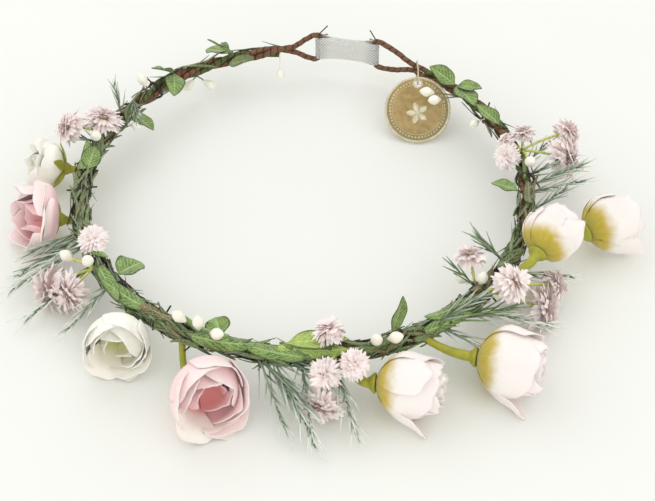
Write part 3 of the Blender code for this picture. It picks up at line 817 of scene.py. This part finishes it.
def make_strap():
    """The elastic band: one sheet looped round both bars, its two runs close together between them."""
    left, right = BARS["left"][0], BARS["right"][0]
    low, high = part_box("elastic_strap")
    width = (high.z - low.z) / MM
    eye, gap, thick, near = 1.95, 0.45, 0.35, 6.0
    rows, steps = [], 14

    def half_gap(x):
        """Half the distance between the two runs at x."""
        parted = max(1 - smooth(x, left.x, left.x + near), smooth(x, right.x - near, right.x))
        return gap + (eye - gap) * parted

    xs = [left.x + (right.x - left.x) * i / steps for i in range(steps + 1)]
    round_bar = [math.pi * k / 6 for k in range(1, 6)]
    path = [(x, -half_gap(x)) for x in xs]
    path += [(right.x + eye * math.sin(a), -eye * math.cos(a)) for a in round_bar]
    path += [(x, half_gap(x)) for x in reversed(xs)]
    path += [(left.x - eye * math.sin(a), eye * math.cos(a)) for a in round_bar]
    paint, lengths, length, before = [], [], 0.0, path[-1]
    for x, y in path + [path[0]]:
        length += math.dist((x, y), before)
        before = (x, y)
        middle = 1 - abs(2 * (x - left.x) / (right.x - left.x) - 1)
        narrow = width / 2 * (1 - 0.1 * max(0.0, middle))
        row = []
        for j in range(13):
            u = j / 6 - 1
            gather = 0.22 * math.sin(u * 15 + x * 0.3) * (1 - min(1.0, max(0.0, middle) * 1.6))
            sag = -0.5 * max(0.0, middle) * (1 - u * u)
            row.append(Vector((x, left.y + y + gather + sag, HOOP_Z + u * narrow)))
        rows.append(row)
        # The second share marks the painted shade on the net near the bars.
        paint.append([(0.0, 1 - smooth(middle, 0.0, 0.45), 0.0)] * 13)
        lengths.append(length)
    shape = Shape()
    shape.sheet(rows[:-1] + [rows[0]], paint, lengths)
    obj = shape.object("strap_band", LOOKS["elastic"], thick, 1)
    bpy.context.view_layer.update()
    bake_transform(obj)
    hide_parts("elastic_strap")


# ---------------------------------------------------------------- foliage


def add_needle(shape, chance, start, along, length, radius, frost, droop=0.0):
    tone = chance.random()
    bow = along.orthogonal().normalized() * chance.uniform(-0.1, 0.1) - UP * droop
    path = [start + along * (length * t) + bow * (length * t * t) for t in (0.0, 0.3, 0.62, 1.0)]
    shape.tube(path, lambda t: radius * (1 - 0.72 * t * t), 4, lambda t: (t, frost, tone))


def add_leaf(shape, chance, root, tip, side, width, pointed=True):
    """A leaf from its root to its tip, folded along its midrib and waved at its edges."""
    along, length = (tip - root).normalized(), (tip - root).length
    side = (side - along * side.dot(along)).normalized()
    normal = along.cross(side)
    if normal.z < 0:
        side, normal = -side, -normal
    tone, wave = chance.random() * 0.6, chance.uniform(0, 6)
    rows, paint = [], []
    for i in range(13):
        t = i / 12
        blade = max(0.0, (t - 0.08) / 0.92)
        half = width / 2 * math.sin(math.pi * blade**0.82) ** (0.8 if pointed else 0.55) + 0.16
        row, shares = [], []
        for j in range(9):
            u = j / 4 - 1
            lift = 0.34 * abs(u) * half + 0.16 * half * math.sin(t * 9 + wave) * u * u - 0.05 * length * t * t
            row.append(root + along * (length * t) + side * (u * half) + normal * lift)
            shares.append((t, abs(u), tone))
        rows.append(row)
        paint.append(shares)
    shape.sheet(rows, paint)


def make_leaves():
    chance = random.Random(5)
    names = [node for node in SLOTS if node.startswith("leaf_")]
    for node in names:
        points, _ = cad_points(node)
        root = root_of(points)
        shape = Shape()
        for tip, side, width in blades_of(points, root, node.startswith("leaf_spray")):
            longer = 0.32 if SLOTS[node] == "leaf_lime" else 0.06
            tip, base = tip + (tip - root) * longer + UP * (4 * longer), root + UP * (6 * (longer - 0.06))
            add_leaf(shape, chance, base, tip, side, width * 1.15, node != "leaf_5")
        stem_start = hoop_point(angle_of(root))
        obj = shape.object(f"{node}_blades", LOOKS[SLOTS[node]], LEAF_THICK, 1)
        ridden(obj, BODY_OF[node], node)
        stalk = Shape()
        stalk.tube(bezier(stem_start, (stem_start + root) / 2 + UP * 0.4, root, 4), LEAF_STEM_R, 6)
        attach(stalk.object(f"{node}_stalk", LOOKS["stem_green"]), BODY_OF[node])


def add_spray(shape, chance, root, tip, count, needle, frost):
    """A spray: a stem, with long needles all along it that get shorter to its tip."""
    spread, droop = 0.45, 0.06
    along, length = (tip - root).normalized(), (tip - root).length
    across = along.cross(UP).normalized()
    over = across.cross(along)
    bow = UP * (-droop * length)
    shape.tube(
        [root + along * (length * t) + bow * (t * t) for t in (0, 0.2, 0.4, 0.6, 0.8, 1.0)],
        lambda t: 0.5 * (1 - 0.6 * t), 5, lambda t: (t, frost * 0.6, 0.2),
    )
    for k in range(count):
        t = 0.05 + 0.93 * k / count
        start = root + along * (length * t) + bow * (t * t)
        roll = k * 2.4 + chance.uniform(-0.4, 0.4)
        off = across * math.cos(roll) + over * (math.sin(roll) * 0.6)
        lean = (along + off * spread * chance.uniform(0.5, 1.2)).normalized()
        size = needle * (1.1 - 0.45 * t) * chance.uniform(0.75, 1.15)
        add_needle(shape, chance, start, lean, size, NEEDLE_R, frost * (0.5 + 0.5 * t), droop * 0.5)


# Fuller foliage than the CAD sprigs: root angle, azimuth, elevation, length, needles, needle length, frost.
EXTRA_SPRAYS = (
    (-151.0, 214, -20, 28, 12, 13, 0.25), (-149.0, 206, -22, 34, 14, 12, 1.5),
    (-147.0, 216, -16, 36, 18, 15, 1.6), (-140.0, 226, -18, 36, 18, 14, 1.6),
    (-132.0, 238, -16, 26, 12, 13, 1.3), (-198.0, 118, 22, 18, 9, 11, 0.7), (-186.0, 172, 4, 16, 8, 10, 1.2),
    (-89.0, -58, -16, 32, 16, 14, 0.9), (-86.0, -52, -12, 36, 18, 16, 1.3),
    (-79.0, -70, -18, 36, 18, 14, 1.6), (-72.0, -62, -14, 34, 16, 14, 1.3),
    (-90.0, -36, -4, 30, 12, 16, 0.35), (-84.0, -24, 0, 24, 9, 13, 0.4), (-46.0, -12, -8, 32, 14, 14, 1.5),
    (-50.0, 36, 3, 26, 12, 15, 0.0), (-44.0, 24, 5, 30, 14, 15, 0.1), (-38.0, 6, -6, 36, 16, 14, 1.6),
    (-30.0, 160, 32, 17, 7, 10, 0.1), (-22.0, 20, -10, 32, 14, 13, 1.6), (0.0, 44, 14, 22, 10, 12, 0.5),
    (8.0, 26, 6, 26, 12, 13, 1.2), (14.0, 40, 10, 26, 11, 12, 1.0), (18.0, 60, 8, 20, 9, 10, 0.8),
)


def make_needles():
    chance = random.Random(23)
    for node in [name for name in SLOTS if SLOTS[name] == "needle_sage"]:
        points, _ = cad_points(node)
        root = root_of(points)
        tip = max(points, key=lambda p: (p - root).length)
        shape = Shape()
        frost = 0.25 if node in ("needle_sprig_1", "needle_sprig_4") else 0.8
        add_spray(shape, chance, root, tip, 16, 11, frost)
        ridden(shape.object(f"{node}_needles", LOOKS["needle_sage"]), BODY_OF[node], node)
    for k, (angle, azimuth, elevation, length, count, needle, frost) in enumerate(EXTRA_SPRAYS):
        shape = Shape()
        root = hoop_point(angle)
        add_spray(shape, chance, root, root + direction(azimuth, elevation) * length, count, needle, frost)
        obj = shape.object(f"frosted_spray_{k + 1}", LOOKS["needle_sage"])
        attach(obj, half_at(angle))


# ---------------------------------------------------------------- small flowers and berries


def add_frill(shape, chance, centre, axis, radius, half):
    """A small carnation: five rings of narrow petals with notched ends, each ring's count, tilt and size."""
    matrix = basis(centre, axis, axis.orthogonal())
    rings = ((5, 4, 0.85), (11, 18, 0.95), (16, 40, 1.0), (19, 64, 1.05), (16, 92, 1.0))
    for ring, (count, tilt, size) in enumerate(rings):
        for k in range(count):
            spin = math.tau * (k + chance.uniform(-0.3, 0.3)) / count + ring
            lean = math.radians(tilt + chance.uniform(-10, 10))
            out = Vector((math.cos(spin), math.sin(spin), 0))
            side = Vector((-math.sin(spin), math.cos(spin), 0))
            length = radius * size * chance.uniform(0.85, 1.1)
            tone, roll = chance.random(), chance.uniform(-0.5, 0.5)
            rows, paint = [], []
            for i in range(5):
                t = i / 4
                bend = lean + 0.5 * t * t
                spot = (out * math.sin(bend) + UP * math.cos(bend)) * (length * t) - UP * (half * 0.25)
                width = radius * (0.07 + 0.17 * t)
                twist = side * math.cos(roll * t) + out.cross(side) * math.sin(roll * t)
                row = []
                for j in range(5):
                    u = j / 2 - 1
                    notch = (0.0, 0.16, -0.05, 0.16, 0.0)[j] * (i == 4)
                    ruffle = out * (0.12 * radius * math.sin(u * 4 + spin * 3) * t)
                    row.append(matrix @ (spot * (1 + notch) + twist * (u * width) + ruffle))
                rows.append(row)
                paint.append([(t, tone, 0.0)] * 5)
            shape.sheet(rows, paint)


def add_drop(shape, centre, axis, radius, half, shares):
    """A drop with its point at the stem's end."""
    matrix = basis(centre, axis, axis.orthogonal())
    rows = []
    for i in range(13):
        t = (i + 0.35) / 12.7
        size = radius * math.sin(math.pi * t) ** 0.75 * (0.62 + 0.38 * smooth(t, 0.0, 0.55))
        rows.append([matrix @ point for point in circle(14, size, half * (2 * t - 1))])
    first = len(shape.points)
    shape.sheet(rows, [[shares] * 14] * 13, wrap=True)
    last = first + 14 * 12
    shape.cap(list(range(first, first + 14)), sum(rows[0], Vector()) / 14 - axis * 0.05, shares, True)
    shape.cap(list(range(last, last + 14)), sum(rows[-1], Vector()) / 14 + axis * 0.05, shares, False)


def stems_of(node):
    """The root of a CAD spray and its heads."""
    points, joined = cad_points(node)
    balls = balls_of(points, joined)
    free = [
        p for p in points
        if all(math.hypot((p - c).xy.length / r, (p - c).z / h) > 1.05 for c, r, h in balls)
    ]
    return root_of(free or points), balls


def make_fillers():
    chance = random.Random(31)
    for node in [name for name in SLOTS if SLOTS[name] == "filler_blush"]:
        root, balls = stems_of(node)
        shape, stems = Shape(), Shape()
        for centre, radius, half in balls:
            away = (centre - root).normalized()
            axis = (away + UP * 0.35).normalized()
            if radius < 3.0:
                add_drop(stems, centre, axis, radius, half * 1.15, (1.0, 0.0, 0.0))
            else:
                add_frill(shape, chance, centre - axis * (half * 0.25), axis, radius * 1.02, half)
            foot = centre - axis * (half * 0.55)
            middle = (root + foot) / 2 + UP * (0.8 + 0.1 * (foot - root).length)
            path = bezier(root, middle, foot, 8)
            shape.tube(path, lambda t: 0.5 + 0.12 * t, 6, lambda t: (t, 0.0, 1.0))
            if radius >= 3.0:
                cup = [foot + axis * (radius * 0.3 * t) for t in (0.0, 0.25, 0.5, 0.75, 1.0)]
                shape.tube(cup, lambda t: 0.6 + radius * 0.16 * t**0.7, 8, lambda t: (t, 0.0, 1.0))
        ridden(shape.object(f"{node}_flowers", LOOKS["filler_blush"]), BODY_OF[node], node)
        if stems.points:
            obj = stems.object(f"{node}_buds", LOOKS["berry_white"], 0.0, 1)
            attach(obj, BODY_OF[node])


# Small extra berries on the hoop: root angle, azimuth, elevation, stem length.
EXTRA_BERRIES = ((-196.0, -20, 6, 8.0), (-203.0, -60, 14, 7.0), (-251.0, 285, -30, 9.0), (40.0, 235, 10, 8.0))


def make_berries():
    for node in [name for name in SLOTS if SLOTS[name] == "berry_white"]:
        root, balls = stems_of(node)
        drops, stems = Shape(), Shape()
        for centre, radius, half in balls:
            axis = (centre - root).normalized()
            add_drop(drops, centre + axis * 0.3, axis, radius * 0.95, half * 1.25, (0.0, 0.0, 0.0))
            stems.tube(bezier(root, (root + centre) / 2 + UP * 0.8, centre - axis * half, 5), BERRY_WIRE_R, 6)
        ridden(drops.object(f"{node}_drops", LOOKS["berry_white"], 0.0, 1), BODY_OF[node], node)
        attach(stems.object(f"{node}_wires", LOOKS["berry_stem"]), BODY_OF[node])
    for k, (angle, azimuth, elevation, length) in enumerate(EXTRA_BERRIES):
        root, axis = hoop_point(angle), direction(azimuth, elevation)
        shape = Shape()
        add_drop(shape, root + axis * (length + 2.0), axis, 1.9, 3.2, (0.0, 0.0, 0.0))
        shape.tube([root + axis * (length * t / 4) for t in range(5)], BERRY_WIRE_R, 6)
        obj = shape.object(f"small_berry_{k + 1}", LOOKS["berry_white"])
        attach(obj, half_at(angle))


# ---------------------------------------------------------------- roses


class Bloom:
    """Where a rose's head is, how big it is, and the frame its petals are drawn in."""

    def __init__(self, name, towards, breadth, reach):
        joint = JOINTS[f"{name}_turn"]
        self.name, self.body = name, joint["child"]
        self.axis, self.centre = Vector(joint["axis"]).normalized(), Vector(joint["pos_m"]) / MM
        points, _ = cad_points(f"{name}_head")
        along = [(p - self.centre).dot(self.axis) for p in points]
        self.back, self.depth = min(along), (max(along) - min(along)) * reach
        self.radius = max(((p - self.centre) - self.axis * a).length for p, a in zip(points, along)) * breadth
        self.matrix = basis(self.centre, self.axis, towards)
        self.chance = random.Random(name)

    def petal(
        self, shape, spin, size=1.0, spread=0.85, height=1.0,
        flare=0.0, curl=0.04, inside=0.0, cream=0.0, close=0.0,
    ):
        """One petal. Size, height, flare and curl are shares of the head's radius or depth, and close draws
        the tip in over the middle."""
        radius, depth, chance = self.radius, self.depth, self.chance
        phase, ripple = chance.uniform(0, 6), chance.uniform(0.02, 0.05)
        rows, paint = [], []
        for i in range(15):
            v = i / 14
            row, shares = [], []
            for j in range(13):
                u = j / 6 - 1
                ragged = 0.014 * math.sin(u * 13 + phase * 2) + 0.02 * math.sin(u * 7 + phase)
                point = 0.03 * math.exp(-((u / 0.3) ** 2)) * v**5
                w = v * (1 - 0.2 * abs(u) ** 2.6 * v + ragged * v**4) + point
                swell = math.sin(min(1.0, w / 0.62) * math.pi / 2) ** 0.85
                r = radius * size * (0.14 + 0.86 * swell)
                r -= radius * size * close * smooth(w, 0.5, 1.05)
                r += radius * (flare * smooth(w, 0.35, 1.0) + 0.055 * u * smooth(w, 0.1, 0.6))
                lip = smooth(w, 0.74, 1.02)
                r += radius * curl * lip * (1 - 0.35 * u * u)
                r += radius * (ripple * math.sin(u * 4.4 + phase) + 0.012 * math.sin(u * 11 + phase)) * w**3
                z = self.back + depth * height * w**1.3 - radius * curl * 0.75 * lip * lip
                z += radius * 0.5 * ripple * math.sin(u * 6.1 + phase) * w**4
                half = spread * math.sin(math.pi * (0.1 + 0.6 * w)) ** 0.6
                a = spin + u * half
                row.append(self.matrix @ Vector((r * math.cos(a), r * math.sin(a), z)))
                shares.append((v, inside, cream * smooth(v, 0.25, 0.55)))
            rows.append(row)
            paint.append(shares)
        shape.sheet(rows, paint)

    def ring(self, shape, count, spin, **petal):
        for k in range(count):
            jitter = self.chance.uniform(-0.08, 0.08)
            self.petal(shape, spin + math.tau * k / count + jitter, **petal)

    def make(self, shape, look):
        obj = shape.object(f"{self.name}_petals", LOOKS[look], PETAL_THICK, 1)
        return ridden(obj, self.body, f"{self.name}_head")


def open_rose(bloom, look, lip, front):
    """A half-open rose. Tall petals fold over a deep heart from the back and sides. Pale lips fall out of
    it over low petals on the frame's X side, whose height follows front."""
    shape = Shape()
    for spin, height in ((1.1, 0.3 + 0.6 * front), (-1.1, 0.3 + 0.64 * front), (0.0, 0.62 * front)):
        bloom.petal(shape, spin, 0.97, 0.85, height, flare=0.03, curl=0.07, inside=0.05)
    for spin in (2.0, 3.2, -2.0):
        bloom.petal(shape, spin, 0.98, 0.95, 0.97, curl=0.05, close=0.2)
    bloom.petal(shape, 2.8, 0.92, 1.25, 1.03, curl=0.04, inside=0.15, close=0.62)
    for spin, height in ((1.5, 0.15 + 0.8 * front), (-1.5, 0.15 + 0.83 * front)):
        bloom.petal(shape, spin, 0.84, 0.85, height, curl=0.05, inside=0.25, close=0.22)
    bloom.petal(shape, -2.5, 0.76, 1.0, 0.98, curl=0.1, inside=0.4, close=0.6)
    bloom.petal(shape, 2.3, 0.64, 0.95, 0.92, curl=0.1, inside=0.6, close=0.5)
    for spin in (1.5, 3.1, -1.5):
        bloom.petal(shape, spin, 0.5, 1.15, 0.68 + 0.1 * front, inside=0.8, close=0.3)
    bloom.petal(shape, -0.1, 0.6, 0.8, 0.86 * front, flare=0.36, curl=0.3, inside=1.0, cream=lip)
    bloom.petal(shape, 0.85, 0.82, 0.62, 0.9 * front, flare=0.14, curl=0.2, inside=0.3, cream=lip * 0.9)
    bloom.make(shape, look)


def bud_rose(bloom, look, loose):
    """A closed bud: wide petals wrapped round each other, and some loose ones at these angles and flares."""
    shape = Shape()
    for size, close, height, inside, turn in (
        (1.0, 0.22, 0.94, 0.0, 0.5), (0.94, 0.28, 0.98, 0.0, 1.6),
        (0.8, 0.34, 1.0, 0.2, 0.1), (0.6, 0.36, 1.0, 0.5, 0.9),
    ):
        bloom.ring(
            shape, 3, turn, size=size, spread=1.26, height=height, curl=0.02, inside=inside, close=close,
        )
    bloom.ring(shape, 2, 0.3, size=0.34, spread=1.6, height=0.96, curl=0.02, inside=0.8, close=0.4)
    for spin, flare in loose:
        bloom.petal(shape, spin, 0.99, 0.62, 0.84, flare=flare, curl=flare * 0.4)
    bloom.make(shape, look)


def make_sepals(bloom, length, lift):
    """Five pointed sepals under the petals. They turn with the head."""
    shape = Shape()
    for k in range(5):
        spin = math.tau * k / 5 + bloom.chance.uniform(-0.15, 0.15)
        rows, paint = [], []
        for i in range(9):
            t = i / 8
            r = 1.6 + length * (t ** 0.9) * 0.82
            z = bloom.back - 0.25 + lift * length * t**1.7
            half = 2.1 * math.sin(math.pi * (0.16 + 0.84 * t)) ** 0.8 + 0.1
            row = []
            for j in range(5):
                u = j / 2 - 1
                a = spin + u * half / max(r, 1.6)
                row.append(bloom.matrix @ Vector((r * math.cos(a), r * math.sin(a), z - 0.25 * (1 - u * u))))
            rows.append(row)
            paint.append([(t, 0.0, 0.0)] * 5)
        shape.sheet(rows, paint)
    obj = shape.object(f"{bloom.name}_sepals", LOOKS["rose_stem"], LEAF_THICK, 1)
    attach(obj, bloom.body)


def make_rose_stem(bloom, thick, cup_r):
    """The plastic stem, which swells into the calyx behind the head."""
    node = f"{bloom.name}_stem"
    points, _ = cad_points(node)
    root = root_of(points)
    top = bloom.centre + bloom.axis * (bloom.back - 0.1)
    neck = top - bloom.axis * 3.6
    reach = (neck - root).length
    start = hoop_point(angle_of(root))
    path = bezier(start, neck - bloom.axis * (reach * 0.5), neck, 10)
    path += [top - bloom.axis * d for d in (3.0, 2.4, 1.8, 1.2, 0.6, 0.0)]
    count = len(path) - 1

    def radius(t):
        k = t * count - 10
        if k <= 0:
            return thick * (1 - 0.12 * math.sin(t * 8))
        return thick + (cup_r - thick) * smooth(k, 0.0, 5.4)

    shape = Shape()
    shape.tube(path, radius, 12)
    ridden(shape.object(f"{bloom.name}_stalk", LOOKS["rose_stem"], 0.0, 1), BODY_OF[node], node)


# Where the frame's X side faces, the breadth and the reach against the CAD head, and how it opens. That is
# the paleness of a half-open rose's lips and the height of its front, or the angle and flare of each loose
# petal on a bud.
BLOOMS = {
    "rose_1": (Vector((0.15, -0.75, 0.5)), 1.0, 1.0, 1.0, 0.5),
    "rose_2": (Vector((-0.2, -0.5, 0.7)), 0.8, 0.9, 0.6, 0.8),
    "rose_3": (Vector((-0.4, -0.9, -0.7)), 0.84, 0.9, 0.7, 0.9),
    "rose_4": (Vector((-0.35, -0.9, -0.7)), 0.95, 0.95, 1.0, 0.9),
    "rose_5": (Vector((-0.1, -0.75, -0.6)), 0.86, 1.1, (0.0, 0.36), (1.1, 0.16), (-1.9, 0.06)),
    "rose_6": (Vector((-0.1, -0.75, -0.6)), 0.95, 1.12, (0.1, 0.32), (1.5, 0.08)),
    "rose_7": (Vector((1.0, -0.35, -0.3)), 0.88, 1.0, (0.2, 0.04), (-0.8, 0.04), (2.6, 0.02)),
    "rose_8": (Vector((0.9, -0.5, -0.5)), 0.8, 1.0, (0.0, 0.36), (2.4, 0.1)),
}


def make_roses():
    for name, (towards, breadth, reach, *manner) in BLOOMS.items():
        bloom, look = Bloom(name, towards, breadth, reach), SLOTS[f"{name}_head"]
        if isinstance(manner[0], float):
            open_rose(bloom, look, *manner)
            make_sepals(bloom, 10.5, 0.35)
            make_rose_stem(bloom, 1.5, 3.0)
        else:
            bud_rose(bloom, look, manner)
            make_rose_stem(bloom, 1.8, 4.2)


# ---------------------------------------------------------------- tag


def make_tag():
    """A gold card disc with a raised pale rim, a ring of beads and a plain five-petalled flower."""
    points, _ = cad_points("tag")
    cloud = np.array(points)
    axes = np.linalg.svd(cloud - cloud.mean(axis=0), full_matrices=False)[2]
    normal = Vector(axes[2])
    normal = normal if normal.z > 0 else -normal
    spans = cloud @ axes.T
    centre = Vector(axes.T @ ((spans.max(axis=0) + spans.min(axis=0)) / 2))
    radius = float((spans.max(axis=0) - spans.min(axis=0))[0] / 2) - 0.25
    thick = float((spans.max(axis=0) - spans.min(axis=0))[2])
    hole = Vector(JOINTS["tag_turn"]["pos_m"]) / MM
    top = (hole - centre) - normal * (hole - centre).dot(normal)
    inset = top.length
    hole_r = min((p - centre - top - normal * (p - centre).dot(normal)).length for p in points)
    matrix = basis(centre, normal, top)
    half = thick / 2

    disc = Shape()
    edge = radius - 0.9
    steps = 9
    for z, flip in ((half - 0.12, False), (-half + 0.12, True)):
        rows, paint = [], []
        for i in range(steps + 1):
            t = i / steps
            rims = zip(circle(72, hole_r, z, inset), circle(72, edge, z))
            row = [matrix @ inner.lerp(outer, t**0.8) for inner, outer in rims]
            rows.append(row if not flip else row[::-1])
            paint.append([(t, 0.0, 0.0)] * 72)
        disc.sheet(rows, paint, wrap=True)
    ends = (-half + 0.12, half - 0.12)
    wall = [[matrix @ point for point in circle(72, hole_r, z, inset)] for z in ends]
    disc.sheet(wall, [[(0.9, 0.0, 0.0)] * 72] * 2, wrap=True)
    obj = ridden(disc.object("tag_card", LOOKS["tag_kraft"]), "tag_body", "tag")

    trim = Shape()
    rim = [
        (edge - 0.15, -half + 0.14), (edge + 0.5, -half), (radius - 0.05, -half + 0.05), (radius, 0.0),
        (radius - 0.05, half - 0.05), (edge + 0.5, half + 0.18), (edge + 0.1, half + 0.12),
        (edge - 0.15, half - 0.14),
    ]
    rows = [[matrix @ point for point in circle(72, r, z)] for r, z in rim]
    trim.sheet(rows, [[(r / radius, 0.0, 0.0)] * 72 for r, _ in rim], wrap=True)
    eyelet = [
        (hole_r - 0.02, 0.0), (hole_r + 0.05, half + 0.14), (hole_r + 0.5, half + 0.14),
        (hole_r + 0.75, half - 0.1),
    ]
    rows = [[matrix @ point for point in circle(36, r, z, inset)] for r, z in eyelet]
    trim.sheet(rows, [[(1.0, 0.0, 0.0)] * 36] * 4, wrap=True)
    for k in range(52):
        a = math.tau * (k + 0.5) / 52
        spot = Vector(((edge - 1.5) * math.cos(a), (edge - 1.5) * math.sin(a), half - 0.12))
        if (spot - Vector((inset, 0, spot.z))).length > hole_r + 1.2:
            add_drop(trim, matrix @ spot, normal, 0.42, 0.22, (1.0, 0.0, 0.0))
    line = [matrix @ point for point in circle(72, edge - 2.6, half - 0.1)]
    trim.tube(line + line[:1], 0.11, 6)
    for k in range(5):
        spin = math.tau * k / 5 + 0.3
        c, n = math.cos(spin), math.sin(spin)
        rows = []
        for i in range(7):
            t = i / 6
            width = 1.25 * math.sin(math.pi * (0.08 + 0.86 * t)) ** 0.7
            row = []
            for j in range(5):
                u = j / 2 - 1
                x, y = 0.7 + 4.2 * t, u * width
                point = Vector((x * c - y * n, x * n + y * c, 0))
                row.append(matrix @ (point + Vector((-1.5, 0, half - 0.12 + 0.26 * (1 - u * u)))))
            rows.append(row)
        trim.sheet(rows, [[(1.0, 0.0, 0.0)] * 5] * 7)
    add_drop(trim, matrix @ Vector((-1.5, 0, half)), normal, 0.8, 0.35, (1.0, 0.0, 0.0))
    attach(trim.object("tag_trim", LOOKS["tag_rim"]), "tag_body")


def finish_thread():
    """The CAD thread stays, made round and given a grained material."""
    node = frame["nodes"]["tag_thread"]
    weld = node.modifiers.new("weld", "WELD")
    weld.merge_threshold = 1e-5
    finer = node.modifiers.new("finer", "SUBSURF")
    finer.levels = finer.render_levels = 2
    node.data.materials.clear()
    node.data.materials.append(
        plain_look("thread_twist", "#DCD3B8", "#A99E7C", 0.8, 1400, 0.8, Specular_IOR_Level=0.2)
    )


# ---------------------------------------------------------------- stage


def make_stage():
    floor = bpy.data.meshes.new("floor")
    work = bmesh.new()
    bmesh.ops.create_grid(work, x_segments=2, y_segments=2, size=3.0)
    work.to_mesh(floor)
    work.free()
    floor.materials.append(floor_look())
    ground = bpy.data.objects.new("floor", floor)
    bpy.context.scene.collection.objects.link(ground)

    world = bpy.data.worlds.new("studio")
    world.use_nodes = True
    world.node_tree.nodes["Background"].inputs["Color"].default_value = (1.0, 1.0, 0.985, 1)
    world.node_tree.nodes["Background"].inputs["Strength"].default_value = 1.04
    bpy.context.scene.world = world
    for name, place, size, power in (
        ("key", (-0.45, 0.55, 1.1), 0.9, 1.2), ("fill", (0.7, -0.8, 0.9), 1.2, 1.2),
    ):
        light = bpy.data.lights.new(name, "AREA")
        light.energy, light.size = power, size
        lamp = bpy.data.objects.new(name, light)
        lamp.location = place
        lamp.rotation_euler = (-Vector(place)).to_track_quat("-Z", "Y").to_euler()
        bpy.context.scene.collection.objects.link(lamp)
    bpy.context.scene.view_settings.view_transform = "Standard"


def make_camera():
    """The camera stands above the crown's front, a little to its right."""
    place, target = Vector((0.0925, -0.4136, 0.409)), Vector((0.0169, -0.0353, 0.017))
    data = bpy.data.cameras.new("camera")
    data.sensor_width, data.lens = 36.0, 76.3
    camera = bpy.data.objects.new("camera", data)
    camera.location = place
    aim = (target - place).to_track_quat("-Z", "Y").to_matrix()
    camera.rotation_euler = (aim @ Matrix.Rotation(math.radians(-0.14), 3, "Z")).to_euler()
    bpy.context.scene.collection.objects.link(camera)
    bpy.context.scene.camera = camera


def main():
    for obj in list(bpy.context.scene.objects):
        if obj.name in ("Cube", "Light", "Camera"):
            bpy.data.objects.remove(obj)
    make_camera()
    make_stage()
    make_vine()
    make_wraps()
    make_long_leaves()
    make_coils()
    make_strap()
    make_leaves()
    make_needles()
    make_fillers()
    make_berries()
    make_roses()
    make_tag()
    finish_thread()


main()
